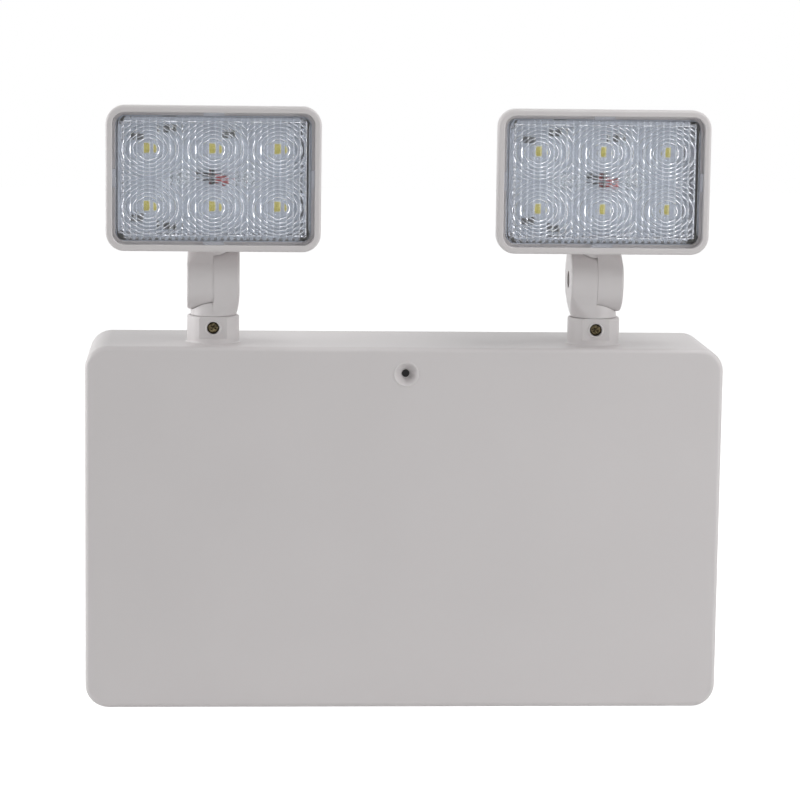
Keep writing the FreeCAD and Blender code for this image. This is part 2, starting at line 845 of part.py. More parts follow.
def flare(body, name, side):
    away = "knuckle_radius + overshoot"
    clear = sketch_on(body, "XZ_Plane", away, name + "_clear_outline")
    middle_rectangle(clear, "0", f"{side}1*({away} + flare_drop)/2",
                     "knuckle_width/2 + overshoot", f"({away} - flare_drop)/2")
    add(body, "Pocket", name + "_clear", clear, Length=f"2*({away})")
    sections = []
    for share in (0, 0.2, 0.55, 1):
        level = f"{side}1*(flare_drop + (flare_end - flare_drop)*{share})"
        section = sketch_on(body, "XY_Plane", level, f"{name}_section_{len(sections)}")
        width = f"flare_width + (flare_round - flare_width)*{share}^flare_ease"
        depth = f"flare_round + (flare_depth - flare_round)*(1 - {share})^flare_ease"
        corner = f"knuckle_round + (neck_radius - knuckle_round)*{share}"
        rounded_rectangle(section, "0", "0", width, depth, corner)
        sections.append(section)
    blend = add(body, "AdditiveLoft", name, sections[0])
    blend.Sections = sections[1:]
    other = "" if side else "-"
    reach = "knuckle_width/2 + overshoot"
    half = sketch_on(body, "XZ_Plane", away, name + "_half_outline")
    middle_rectangle(half, f"{other}1*({reach} - seam_gap/2)/2", f"{side}1*(flare_end + overshoot)/2",
                     f"({reach} + seam_gap/2)/2", "(flare_end + overshoot)/2")
    add(body, "Pocket", name + "_half", half, Length=f"2*({away})")


def swivel_neck():
    body = new_body("neck_body")
    cheek = sketch_on(body, "YZ_Plane", "-seam_gap/2", "swivel_cheek_ring")
    circle(cheek, "0", "0", "knuckle_radius")
    add(body, "Pad", "swivel_cheek", cheek, ["Reversed"], Length="cheek_width")
    fillet(body, "swivel_cheek_round", "knuckle_round", lambda edge: lies_at(edge, "x", "-knuckle_width/2"))
    flare(body, "swivel_flare", "-")
    neck = sketch_on(body, "XY_Plane", "shoulder_gap - pivot_rise", "neck_ring")
    circle(neck, "0", "0", "neck_radius")
    add(body, "Pad", "neck", neck, Length="pivot_rise - shoulder_gap")
    seat = sketch_on(body, "YZ_Plane", "-seam_gap/2", "swivel_seat_ring")
    circle(seat, "0", "0", "seat_radius")
    add(body, "Pocket", "swivel_seat", seat, ["Reversed"], Length="knuckle_width")
    lip = sketch_on(body, "YZ_Plane", "-seam_gap/2", "seam_lip_rings")
    circle(lip, "0", "0", "lip_outer")
    circle(lip, "0", "0", "lip_inner")
    add(body, "Pad", "seam_lip", lip, Length="seam_gap + lip_rise")
    spigot = sketch_on(body, "XY_Plane", "shoulder_gap - pivot_rise", "spigot_ring")
    circle(spigot, "0", "0", "spigot_radius")
    add(body, "Pad", "spigot", spigot, ["Reversed"], Length="spigot_end - pivot_rise + shoulder_gap")
    spigot_cuts(body)
    bore = sketch_on(body, "YZ_Plane", "-knuckle_width/2", "swivel_pivot_bore_ring")
    circle(bore, "0", "0", "pivot_radius + running_gap")
    add(body, "Pocket", "swivel_pivot_bore", bore, ["Reversed"], Length="knuckle_width/2")
    recess = sketch_on(body, "YZ_Plane", "-knuckle_width/2", "pivot_recess_ring")
    circle(recess, "0", "0", "pivot_recess_radius")
    add(body, "Pocket", "pivot_recess", recess, ["Reversed"], Length="pivot_recess_depth")
    place(body, *pivot)
    return node(body, "swivel_neck_right")


def spigot_cuts(body):
    lock = sketch_on(body, "YZ_Plane", "0", "lock_groove_profile")
    middle_rectangle(lock, "-(spigot_radius + overshoot + groove_floor)/2", "-pivot_rise - lock_drop",
                     "(spigot_radius + overshoot - groove_floor)/2", "groove_width/2")
    turn(body, "Groove", "lock_groove", lock, "V_Axis", ["Midplane"], "360 - stop_rib_angle")
    clip = sketch_on(body, "YZ_Plane", "0", "clip_groove_profile")
    rectangle(clip, "-spigot_radius - overshoot", "clip_groove_depth - spigot_radius",
              "-clip_top - clip_thickness - 2*clip_side_gap", "-clip_top")
    turn(body, "Groove", "clip_groove", clip, "V_Axis")
    wires = sketch_on(body, "XY_Plane", "-spigot_end", "wire_bore_ring")
    circle(wires, "0", "0", "wire_bore_radius")
    add(body, "Pocket", "wire_bore", wires, ["Reversed"], Length="spigot_end - wire_ring_inner")


def neck_clip():
    under = "-clip_top - clip_side_gap - clip_thickness"
    inside = "spigot_radius - clip_groove_depth + clip_side_gap"
    ring = rod("clip_ring", "+z", ("0", "0", under), "clip_radius", "clip_thickness")
    hole = rod("clip_hole", "+z", ("0", "0", under + " - overshoot"), inside, "clip_thickness + 2*overshoot")
    mouth = block("clip_mouth", (f"-({inside})*sqrt(3)/2", f"({inside})*sqrt(3)/2"),
                  ("0", "clip_radius + overshoot"), (under + " - overshoot", "overshoot - clip_top"))
    clip = cut("clip_cut", ring, [hole, mouth])
    place(clip, *pivot)
    return node(clip, "neck_clip_right")


# Head shell: rim, tub, stub and the outer cheek of the tilt knuckle, about the tilt axis

def head_shell():
    body = new_body("shell_body")
    cheek = sketch_on(body, "YZ_Plane", "seam_gap/2", "head_cheek_ring")
    circle(cheek, "0", "0", "knuckle_radius")
    add(body, "Pad", "head_cheek", cheek, Length="cheek_width")
    fillet(body, "head_cheek_round", "knuckle_round", lambda edge: lies_at(edge, "x", "knuckle_width/2"))
    flare(body, "head_flare", "")
    stub = sketch_on(body, "XY_Plane", "0", "stub_ring")
    circle(stub, "0", "0", "neck_radius")
    add(body, "Pad", "stub", stub, Length="head_lift + stub_overlap")
    seat = sketch_on(body, "YZ_Plane", "seam_gap/2", "head_seat_ring")
    circle(seat, "0", "0", "seat_radius")
    add(body, "Pocket", "head_seat", seat, Length="knuckle_width")
    tub(body)
    tub_room(body)
    led_bosses(body)
    cheek_cuts(body)
    place(body, *pivot)
    return node(body, "head_shell_right")


def tub(body):
    front = sketch_on(body, "XZ_Plane", "head_reach - rim_depth", "tub_front_outline")
    rounded_rectangle(front, "0", "head_z", "head_width/2 - rim_step", "head_height/2 - rim_step",
                      "head_corner - rim_step")
    back = sketch_on(body, "XZ_Plane", "-head_back", "tub_back_outline")
    rounded_rectangle(back, "0", "head_z", "head_back_width/2", "head_back_height/2",
                      "head_corner - rim_step")
    loft(body, "AdditiveLoft", "tub", front, back)
    fillet(body, "tub_back_round", "head_back_round", lambda edge: lies_at(edge, "y", "head_back"))
    rim = sketch_on(body, "XZ_Plane", "head_reach - rim_depth", "rim_outline")
    rounded_rectangle(rim, "0", "head_z", "head_width/2", "head_height/2", "head_corner")
    add(body, "Pad", "rim", rim, Length="rim_depth")
    fillet(body, "rim_edge", "rim_round", lambda edge: lies_at(edge, "y", "-head_reach"))


def tub_room(body):
    opening = sketch_on(body, "XZ_Plane", "head_reach", "rim_opening_outline")
    rounded_rectangle(opening, "0", "head_z", "opening_x", "opening_z", "head_corner - rim_width")
    add(body, "Pocket", "rim_opening", opening, Length="head_reach - shelf_front")
    fillet(body, "rim_inner_edge", "rim_inner_round",
           lambda edge: lies_at(edge, "y", "-head_reach") and is_in_opening(edge))
    seat = sketch_on(body, "XZ_Plane", "shelf_front", "lens_seat_outline")
    rounded_rectangle(seat, "0", "head_z", "lens_x + lens_fit", "lens_z + lens_fit", "lens_corner + lens_fit")
    add(body, "Pocket", "lens_seat", seat, Length="shelf_front - ledge_front")
    front = sketch_on(body, "XZ_Plane", "ledge_front", "cavity_front_outline")
    rounded_rectangle(front, "0", "head_z", "cavity_x", "cavity_z", "head_corner - rim_width")
    back = sketch_on(body, "XZ_Plane", "-cavity_end", "cavity_back_outline")
    rounded_rectangle(back, "0", "head_z", "cavity_end_x", "cavity_end_z", "head_corner - rim_width")
    loft(body, "SubtractiveLoft", "cavity", front, back)


def is_in_opening(edge):
    box = edge.BoundBox
    reach_x = max(abs(box.XMin), abs(box.XMax))
    reach_z = max(abs(box.ZMin - value("head_z")), abs(box.ZMax - value("head_z")))
    return reach_x < value("opening_x") + tolerance and reach_z < value("opening_z") + tolerance


def led_bosses(body):
    bosses = sketch_on(body, "XZ_Plane", "-cavity_end - overshoot", "led_boss_rings")
    pilots = sketch_on(body, "XZ_Plane", "led_board_back", "led_boss_pilots")
    for side in ("-", ""):
        circle(bosses, side + "led_screw_x", "head_z", "led_boss_radius")
        circle(pilots, side + "led_screw_x", "head_z", "led_screw_radius + thread_gap")
    add(body, "Pad", "led_bosses", bosses, Length="cavity_end + overshoot + led_board_back")
    add(body, "Pocket", "led_pilots", pilots, Length="led_screw_length")


def cheek_cuts(body):
    ring = sketch_on(body, "YZ_Plane", "seam_gap/2", "wire_ring_rings")
    circle(ring, "0", "0", "wire_ring_outer")
    circle(ring, "0", "0", "wire_ring_inner")
    add(body, "Pocket", "wire_ring", ring, ["Reversed"], Length="wire_ring_depth")
    groove = sketch_on(body, "YZ_Plane", "seam_gap/2", "lip_groove_rings")
    circle(groove, "0", "0", "lip_outer + lip_gap")
    circle(groove, "0", "0", "lip_inner - lip_gap")
    add(body, "Pocket", "lip_groove", groove, ["Reversed"], Length="lip_rise + lip_gap")
    channel = sketch_on(body, "XY_Plane", "0", "wire_channel_ring")
    circle(channel, "channel_x", "channel_y", "channel_radius")
    add(body, "Pocket", "wire_channel", channel, ["Reversed"], Length="head_z - cavity_end_z + overshoot")
    bore = sketch_on(body, "YZ_Plane", "knuckle_width/2", "head_pivot_bore_ring")
    circle(bore, "0", "0", "pivot_radius + thread_gap")
    add(body, "Pocket", "head_pivot_bore", bore, Length="knuckle_width/2")
    flat = "(nut_flats/2 + nut_gap)"
    corner = flat + "*2/sqrt(3)"
    nut = sketch_on(body, "YZ_Plane", "knuckle_width/2", "nut_recess_outline")
    outline(nut, [
        ("0", corner), (f"-{flat}", f"{corner}/2"), (f"-{flat}", f"-{corner}/2"),
        ("0", f"-{corner}"), (flat, f"-{corner}/2"), (flat, f"{corner}/2"),
    ])
    add(body, "Pocket", "nut_recess", nut, Length="nut_recess_depth")


# Pivot screw through both cheeks, its washer in the inner cheek and its nut in the outer one

def pivot_pieces():
    seat = ("-pivot_seat", "0", "0")
    length = "pivot_seat + nut_seat + nut_thickness + pivot_tail"
    head = ("pivot_head_radius", "pivot_head_height")
    bolt = screw("pivot_bolt", "+x", seat, head, ("pivot_radius", length))
    washer_ring = rod("washer_ring", "+x", seat, "pivot_head_radius", "washer_thickness")
    washer_hole = rod("washer_hole", "+x", ("-pivot_seat - overshoot", "0", "0"),
                      "pivot_radius + thread_gap", "washer_thickness + 2*overshoot")
    washer = cut("washer_cut", washer_ring, [washer_hole])
    prism = doc.addObject("Part::Prism", "nut_prism")
    prism.Polygon = 6
    bind(prism, "Circumradius", "nut_flats/sqrt(3)")
    bind(prism, "Height", "nut_thickness")
    prism.Placement.Rotation = FreeCAD.Rotation(directions["+z"], directions["+x"])
    place(prism, "nut_seat", "0", "0")
    nut_hole = rod("nut_hole", "+x", ("nut_seat - overshoot", "0", "0"),
                   "pivot_radius + thread_gap", "nut_thickness + 2*overshoot")
    nut = cut("nut_cut", prism, [nut_hole])
    for item, label in ((bolt, "pivot_screw"), (washer, "pivot_washer"), (nut, "pivot_nut")):
        place(item, *pivot)
        node(item, label + "_right")


# Lens: plate and skirt with four tabs, and ring prisms behind the plate at each LED

def lens():
    body = new_body("lens_body")
    plate = sketch_on(body, "XZ_Plane", "lens_back", "lens_plate_outline")
    rounded_rectangle(plate, "0", "head_z", "lens_x", "lens_z", "lens_corner")
    add(body, "Pad", "lens_plate", plate, Length="lens_thickness")
    skirt = sketch_on(body, "XZ_Plane", "ledge_front", "lens_skirt_outline")
    rounded_rectangle(skirt, "0", "head_z", "lens_x", "lens_z", "lens_corner")
    rounded_rectangle(skirt, "0", "head_z", "lens_x - lens_skirt", "lens_z - lens_skirt",
                      "lens_corner - lens_skirt")
    add(body, "Pad", "lens_skirt_wall", skirt, Length="lens_back - ledge_front")
    tabs = sketch_on(body, "XZ_Plane", "lens_front - tab_thickness", "lens_tab_outline")
    for sign in ("-", ""):
        middle_rectangle(tabs, "0", f"head_z + {sign}1*(lens_z + (lens_gap - tab_fit)/2)",
                         "tab_width/2", "(lens_gap - tab_fit)/2")
        middle_rectangle(tabs, f"{sign}1*(lens_x + (lens_gap - tab_fit)/2)", "head_z",
                         "(lens_gap - tab_fit)/2", "side_tab_width/2")
    add(body, "Pad", "lens_tabs", tabs, Length="tab_thickness - tab_set")
    lens_prisms(body)
    return body


def lens_prisms(body):
    rings = sketch_on(body, "YZ_Plane", "-led_pitch_x", "prism_profile", shift_y="head_z - led_pitch_z/2")
    valley = "-lens_back"
    peak = "prism_height - lens_back"
    root = "-lens_back - overshoot"
    teeth = []
    for count in range(int(value("prism_rings")), 0, -1):
        teeth += [(valley, f"{count}*prism_pitch"), (peak, f"{count - 1}*prism_pitch")]
    outline(rings, [(root, "0"), (root, "prism_rings*prism_pitch")] + teeth)
    cell = turn(body, "Revolution", "prism_cell", rings)
    cells = body.newObject("PartDesign::LinearPattern", "prism_cells")
    cells.Originals = [cell]
    cells.Direction = (origin_feature(body, "X_Axis"), [""])
    cells.Occurrences = 3
    bind(cells, "Length", "2*led_pitch_x")
    cells.Direction2 = (origin_feature(body, "Z_Axis"), [""])
    cells.Occurrences2 = 2
    bind(cells, "Length2", "led_pitch_z")
    body.Tip = cells


# LED board and what it carries, the same in both heads

def led_board(side):
    body = new_body("led_board_body" + side)
    board = sketch_on(body, "XZ_Plane", "led_board_back", "led_board_outline" + side)
    rounded_rectangle(board, "0", "head_z", "led_board_x", "led_board_z", "head_corner - rim_width")
    circle(board, "0", "head_z", "led_wire_spread + led_wire_radius + screw_hole_gap")
    for sign in ("-", ""):
        circle(board, sign + "led_screw_x", "head_z", "led_screw_radius + screw_hole_gap")
    add(body, "Pad", "led_board_plate" + side, board, Length="led_board_thickness")
    return body


def leds(side):
    items = []
    for column in (-1, 0, 1):
        for row in (-1, 1):
            x = f"{column}*led_pitch_x"
            z = f"head_z + {row}*led_pitch_z/2"
            items.append(block(f"led{side}_{len(items)}", (f"{x} - led_size/2", f"{x} + led_size/2"),
                               ("-led_board_front - led_height", "-led_board_front"),
                               (f"{z} - led_size/2", f"{z} + led_size/2")))
    return group("led_group" + side, items)


def resistors(side):
    spots = [("-resistor_x_far", "resistor_z_far"), ("-resistor_x_mid", "resistor_z_mid"),
             ("resistor_x_near", "resistor_z_near"),
             ("-resistor_x_far", "-resistor_z_far"), ("-resistor_x_mid", "-resistor_z_mid")]
    items = []
    for x, rise in spots:
        z = f"head_z + {rise}"
        items.append(block(f"resistor{side}_{len(items)}",
                           (f"{x} - resistor_length/2", f"{x} + resistor_length/2"),
                           ("-led_board_front - resistor_height", "-led_board_front"),
                           (f"{z} - resistor_width/2", f"{z} + resistor_width/2")))
    return group("resistor_group" + side, items)


def led_screws(side):
    items = []
    for sign in ("-", ""):
        seat = (sign + "led_screw_x", "-led_board_front", "head_z")
        items.append(screw(f"led_screw{side}_{len(items)}", "+y", seat,
                           ("led_screw_head_radius", "led_screw_head_height"),
                           ("led_screw_radius", "led_screw_length")))
    return group("led_screw_group" + side, items)


# A wire comes up the stub's channel, through the board's middle hole and bends over to its pad

def led_wire(name, hand, sign):
    low = (f"{hand}1*channel_x + {sign}1*led_wire_spread", "channel_y")
    through = f"{sign}1*led_wire_spread"
    pad_x = f"{sign}1*led_wire_reach"
    pad_z = f"head_z - {sign}1*led_wire_slant"
    crest = "-led_board_front - led_wire_rise"
    points = [
        (*low, "head_lift"),
        (*low, "head_z - led_wire_turn"),
        (through, "channel_y - led_wire_turn", "head_z"),
        (through, crest, "head_z"),
        (pad_x, crest, pad_z),
        (pad_x, "-led_board_front", pad_z),
    ]
    return tube(name, points, "led_wire_radius", "led_wire_bend")


def head_inside(side, hand):
    pieces = (
        ("lens", lens()),
        ("led_board", led_board(side)),
        ("leds", leds(side)),
        ("led_resistors", resistors(side)),
        ("led_board_screws", led_screws(side)),
        ("led_wire_red", led_wire("red_wire" + side, hand, "")),
        ("led_wire_black", led_wire("black_wire" + side, hand, "-")),
    )
    for label, item in pieces:
        place(item, f"{hand}1*collar_x", pivot[1], pivot[2])
        node(item, label + side)


# Test button, and the switch that it presses

def test_button():
    body = new_body("button_body")
    profile = sketch_on(body, "YZ_Plane", "0", "button_profile", shift_y="dish_z")
    tip = "dish_depth - box_depth - button_rise"
    outline(profile, [
        (tip, "0"), (tip, "button_radius"), ("-flange_front", "button_radius"),
        ("-flange_front", "flange_radius"), ("-flange_back", "flange_radius"), ("-flange_back", "0"),
    ])
    turn(body, "Revolution", "button", profile)
    return node(body, "test_button")


def test_switch():
    case = block("switch_case", ("-switch_size/2", "switch_size/2"), ("-switch_front", "-control_front"),
                 ("dish_z - switch_size/2", "dish_z + switch_size/2"))
    well_start = ("0", "-switch_front - overshoot", "dish_z")
    well = rod("switch_well", "+y", well_start, "plunger_radius + button_gap",
               "switch_well_depth + overshoot")
    node(cut("switch_cut", case, [well]), "test_switch")
    plunger = rod("plunger_rod", "+y", ("0", "-flange_back", "dish_z"), "plunger_radius", "plunger_length")
    node(plunger, "switch_plunger")


# Control board on the cover's bosses, with its parts on the side away from the switch

def control_board():
    blank = block("control_blank", ("-control_width/2", "control_width/2"),
                  ("-control_front", "-control_back"),
                  ("control_middle - control_height/2", "control_top"))
    holes = []
    screws = []
    for x, z in control_holes():
        count = len(holes)
        holes.append(rod(f"control_hole_{count}", "+y", (x, "-control_front - overshoot", z),
                         "screw_hole", "control_thickness + 2*overshoot"))
        screws.append(screw(f"control_screw_{count}", "-y", (x, "-control_back", z), small_head,
                            ("small_screw_radius", "small_screw_length")))
    node(cut("control_cut", blank, holes), "control_board")
    node(group("control_screw_group", screws), "control_board_screws")


def control_parts():
    back = "-control_back"
    relay = block("relay_block", ("relay_x - relay_length/2", "relay_x + relay_length/2"),
                  (back, f"{back} + relay_height"),
                  ("control_middle - relay_width/2", "control_middle + relay_width/2"))
    node(relay, "relay")
    cans = []
    for count in (0, 1):
        foot = (f"{count}*capacitor_spacing", back, "control_middle + capacitor_radius")
        cans.append(rod(f"capacitor_{count}", "+y", foot, "capacitor_radius", "capacitor_length"))
    node(group("capacitor_group", cans), "capacitors")
    strip = block("terminal_strip", ("terminal_x - terminal_length/2", "terminal_x + terminal_length/2"),
                  (back, f"{back} + terminal_height"),
                  ("terminal_z - terminal_width/2", "terminal_z + terminal_width/2"))
    wells = []
    for count in range(int(value("terminal_poles"))):
        x = f"terminal_x + terminal_length*(({count} + 0.5)/terminal_poles - 0.5)"
        mouth = (x, f"{back} + terminal_height + overshoot", "terminal_z")
        wells.append(rod(f"terminal_well_{count}", "-y", mouth, "terminal_well_radius",
                         "terminal_well_depth + overshoot"))
    node(cut("terminal_cut", strip, wells), "terminal_block")
    sockets = []
    for sign in ("-", ""):
        x = f"{sign}1*connector_x"
        sockets.append(block("lamp_socket" + sign.replace("-", "_left"),
                             (f"{x} - connector_length/2", f"{x} + connector_length/2"),
                             (back, f"{back} + connector_height"),
                             ("control_middle - connector_width/2", "control_middle + connector_width/2")))
    node(group("connector_group", sockets), "lamp_connectors")


# Battery in its cradle, under its strap

def battery():
    body = new_body("battery_body")
    shape = sketch_on(body, "XZ_Plane", "plate_thickness", "battery_outline")
    rectangle(shape, "battery_left", "battery_right", "battery_floor", "battery_top")
    add(body, "Pad", "battery_case", shape, Length="battery_thickness")
    fillet(body, "battery_edges", "battery_round", lambda edge: runs_along(edge, "y"))
    node(body, "battery")
    tabs = []
    middle_y = "-plate_thickness - battery_thickness/2"
    for count in (0, 1):
        x = f"battery_left + tab_terminal_spacing*({count} + 1)"
        tabs.append(block(f"battery_tab_{count}",
                          (f"{x} - tab_terminal_width/2", f"{x} + tab_terminal_width/2"),
                          (f"{middle_y} - tab_terminal_thickness/2",
                           f"{middle_y} + tab_terminal_thickness/2"),
                          ("battery_top", "tab_top")))
    node(group("battery_tab_group", tabs), "battery_terminals")


def battery_strap():
    body = new_body("strap_body")
    hat = sketch_on(body, "XY_Plane", "strap_z - strap_width/2", "strap_profile")
    foot = "strap_inner + strap_thickness + strap_foot"
    crown = "-battery_front - cradle_gap"
    half = [
        ("strap_inner", "-strap_seat"), (foot, "-strap_seat"), (foot, "-strap_seat - strap_thickness"),
        ("strap_inner + strap_thickness", "-strap_seat - strap_thickness"),
        ("strap_inner + strap_thickness", f"{crown} - strap_thickness"),
    ]
    right = [(f"battery_x + {x}", y) for x, y in half]
    left = [(f"battery_x - ({x})", y) for x, y in reversed(half)]
    outline(hat, right + left + [("battery_x - strap_inner", crown), ("battery_x + strap_inner", crown)])
    add(body, "Pad", "strap_sheet", hat, Length="strap_width")
    holes = sketch_on(body, "XZ_Plane", "strap_seat", "strap_hole_rings")
    for sign in ("-", "+"):
        circle(holes, f"battery_x {sign} strap_hole", "strap_z", "screw_hole")
    add(body, "Pocket", "strap_holes", holes, ["Reversed"], Length="strap_thickness + overshoot")
    node(body, "battery_strap")
    screws = []
    for sign in ("-", "+"):
        seat = (f"battery_x {sign} strap_hole", "-strap_seat - strap_thickness", "strap_z")
        screws.append(screw(f"strap_screw_{len(screws)}", "+y", seat, small_head,
                            ("small_screw_radius", "small_screw_length")))
    node(group("strap_screw_group", screws), "strap_screws")


# Transformer: stacked core with two windows and lugs, and the coil round its middle leg

def transformer():
    body = new_body("core_body")
    core = sketch_on(body, "XZ_Plane", "core_back", "core_outline")
    middle_rectangle(core, "0", "0", "core_width/2", "core_height/2")
    for sign in ("-", ""):
        middle_rectangle(core, f"{sign}1*(leg_width + window_width)/2", "0",
                         "window_width/2", "window_height/2")
    add(body, "Pad", "core_stack_block", core, Length="core_stack")
    lugs = sketch_on(body, "XZ_Plane", "core_back", "lug_outline")
    holes = sketch_on(body, "XZ_Plane", "core_back", "lug_hole_rings")
    for sign in ("-", ""):
        middle_rectangle(lugs, f"{sign}1*lug_hole", "0", "lug_length/2", "lug_height/2")
        circle(holes, f"{sign}1*lug_hole", "0", "screw_hole")
    add(body, "Pad", "lugs", lugs, Length="lug_thickness")
    add(body, "Pocket", "lug_holes", holes, ["Reversed"], Length="lug_thickness + overshoot")
    place(body, "transformer_x", "0", "transformer_z")
    node(body, "transformer_core")
    coil_x = "leg_width/2 + window_width - coil_gap"
    coil_z = "window_height/2 - coil_gap"
    leg_x = "leg_width/2 + coil_gap"
    winding = block("winding", (f"-({coil_x})", coil_x), ("-coil_front", "-coil_back"),
                    (f"-({coil_z})", coil_z))
    leg = block("winding_room", (f"-({leg_x})", leg_x), ("-core_front - coil_gap", "coil_gap - core_back"),
                (f"-({coil_z}) - overshoot", f"{coil_z} + overshoot"))
    coil = cut("coil_cut", winding, [leg])
    place(coil, "transformer_x", "0", "transformer_z")
    node(coil, "transformer_coil")
    screws = []
    for sign in ("-", "+"):
        seat = (f"transformer_x {sign} lug_hole", "-core_back - lug_thickness", "transformer_z")
        screws.append(screw(f"lug_screw_{len(screws)}", "+y", seat, small_head,
                            ("small_screw_radius", "small_screw_length")))
    node(group("lug_screw_group", screws), "transformer_screws")


# Leads: lamp leads run into the spigots, the others to the terminal block's lower side

def leads():
    socket_y = "connector_height/2 - control_back"
    lamp = tube("lamp_lead", [
        ("connector_x + connector_length/2", socket_y, "control_middle"),
        ("(connector_x + collar_x)/2", socket_y, "control_middle"),
        ("collar_x", "-collar_setback", "control_top - 2*lead_bend"),
        ("collar_x", "-collar_setback", "inner_z"),
    ], "lead_radius", "lead_bend")
    node(lamp, "lamp_lead_right")
    entry_y = "terminal_height/2 - control_back"
    pole = "terminal_length/terminal_poles"
    tab_y = "-plate_thickness - battery_thickness/2"
    battery_wires = []
    for count in (0, 1):
        start_x = f"battery_left + tab_terminal_spacing*({count} + 1)"
        end_x = f"terminal_x + {pole}*({1 - count} - 2)"
        level = f"tab_top + lead_bend + lead_slack/2 + lead_step*{count}"
        battery_wires.append(tube(f"battery_wire_{count}", [
            (start_x, tab_y, "tab_top"), (start_x, tab_y, level),
            (end_x, entry_y, level), (end_x, entry_y, "terminal_entry"),
        ], "lead_radius", "lead_bend"))
    node(group("battery_lead_group", battery_wires), "battery_leads")
    coil_wires = []
    for count in (0, 1):
        start_x = f"transformer_x + {pole}*({count} - 0.5)"
        end_x = f"terminal_x + {pole}*(1 + {count})"
        level = f"terminal_entry - lead_bend*2 - lead_step*{count}"
        front = "-coil_front - 2*lead_bend"
        coil_wires.append(tube(f"coil_wire_{count}", [
            (start_x, "-coil_front", "transformer_z"), (start_x, front, "transformer_z"),
            (start_x, front, level), (end_x, entry_y, level), (end_x, entry_y, "terminal_entry"),
        ], "lead_radius", "lead_bend"))
    node(group("coil_lead_group", coil_wires), "transformer_leads")


def mirror_to_left(label):
    source = next(item for item in nodes if item.Label == label + "_right")
    item = doc.addObject("Part::Mirroring", label + "_mirror")
    item.Source = source
    item.Normal = directions["+x"]
    node(item, label + "_left")


front_cover()
back_plate()
cover_screws()
lock_screws()
swivel_neck()
neck_clip()
head_shell()
pivot_pieces()
head_inside("_right", "")
head_inside("_left", "-")
test_button()
test_switch()
control_board()
control_parts()
battery()
battery_strap()
transformer()
leads()
handed = ("swivel_neck", "neck_clip", "head_shell", "pivot_screw", "pivot_washer", "pivot_nut", "lamp_lead")
for piece in handed:
    mirror_to_left(piece)
doc.recompute()

# Nothing is written unless every object is sound and every cut has taken something away
for item in doc.Objects:
    if "Invalid" in item.State or "Error" in item.State:
        raise RuntimeError(f"{item.Name} failed: {item.State}")
    if item.TypeId in ("PartDesign::Pocket", "PartDesign::Groove", "PartDesign::SubtractiveLoft"):
        if item.BaseFeature.Shape.Volume - item.Shape.Volume < tolerance:
            raise RuntimeError(f"{item.Name} cuts nothing")
for item in nodes:
    if item.Shape.isNull() or not item.Shape.isValid():
        raise RuntimeError(f"{item.Label} has no valid shape")

os.makedirs("parts", exist_ok=True)
for item in nodes:
    item.Shape.exportStep(f"parts/{item.Label}.step")
    print(item.Label, len(item.Shape.Solids), "solid", round(item.Shape.Volume, 1), "mm3")
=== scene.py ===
# Twin-head emergency light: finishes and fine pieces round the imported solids
import math
import bmesh
import bpy
import numpy as np
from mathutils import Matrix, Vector


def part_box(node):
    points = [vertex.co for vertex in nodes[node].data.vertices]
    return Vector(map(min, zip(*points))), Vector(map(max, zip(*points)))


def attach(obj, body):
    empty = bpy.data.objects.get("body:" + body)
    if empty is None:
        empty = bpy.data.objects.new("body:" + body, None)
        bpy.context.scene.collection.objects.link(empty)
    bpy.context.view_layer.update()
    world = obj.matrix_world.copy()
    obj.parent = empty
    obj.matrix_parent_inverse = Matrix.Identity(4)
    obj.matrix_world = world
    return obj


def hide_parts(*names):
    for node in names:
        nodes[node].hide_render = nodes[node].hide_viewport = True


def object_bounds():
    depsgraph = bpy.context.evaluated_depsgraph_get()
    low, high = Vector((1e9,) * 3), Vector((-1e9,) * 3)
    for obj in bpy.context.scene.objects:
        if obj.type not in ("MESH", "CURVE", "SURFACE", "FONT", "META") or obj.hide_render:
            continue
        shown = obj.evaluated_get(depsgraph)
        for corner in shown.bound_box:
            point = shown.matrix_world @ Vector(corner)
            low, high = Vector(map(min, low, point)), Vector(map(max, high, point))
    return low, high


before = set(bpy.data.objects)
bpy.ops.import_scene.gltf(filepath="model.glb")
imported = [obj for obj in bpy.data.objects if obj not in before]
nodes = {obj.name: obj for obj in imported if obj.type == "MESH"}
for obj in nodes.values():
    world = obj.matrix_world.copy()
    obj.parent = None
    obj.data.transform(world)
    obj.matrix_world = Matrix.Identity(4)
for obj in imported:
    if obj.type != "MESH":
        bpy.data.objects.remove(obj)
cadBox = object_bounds()
mm = 0.001
sides = ("left", "right")
print("frame:", len(nodes), "nodes")


# Colours are written as sRGB hex and used as linear light, by the sRGB curve
def linear(hexColour):
    srgb = np.array([int(hexColour[i:i + 2], 16) for i in (1, 3, 5)]) / 255
    light = np.where(srgb <= 0.04045, srgb / 12.92, ((srgb + 0.055) / 1.055) ** 2.4)
    return (*light.tolist(), 1.0)


# One node with its settings; an input given a socket is linked, any other input is set
def addNode(tree, kind, inputs=(), **settings):
    node = tree.nodes.new(kind)
    for name, setting in settings.items():
        setattr(node, name, setting)
    for name, source in dict(inputs).items():
        if isinstance(source, bpy.types.NodeSocket):
            tree.links.new(source, node.inputs[name])
        else:
            node.inputs[name].default_value = source
    return node


# A new material with its constants on the shader's own sockets
def newMaterial(name, **constants):
    material = bpy.data.materials.new(name)
    material.use_nodes = True
    tree = material.node_tree
    shader = tree.nodes["Principled BSDF"]
    for key, value in constants.items():
        shader.inputs[key.replace("_", " ")].default_value = value
    return material, tree, shader


mixFactor, mixFirst, mixSecond, mixResult = 0, 6, 7, 2  # sockets of a Mix node set to colours
noiseLow, noiseHigh = 0.3, 0.7  # most of a Noise texture lies between these


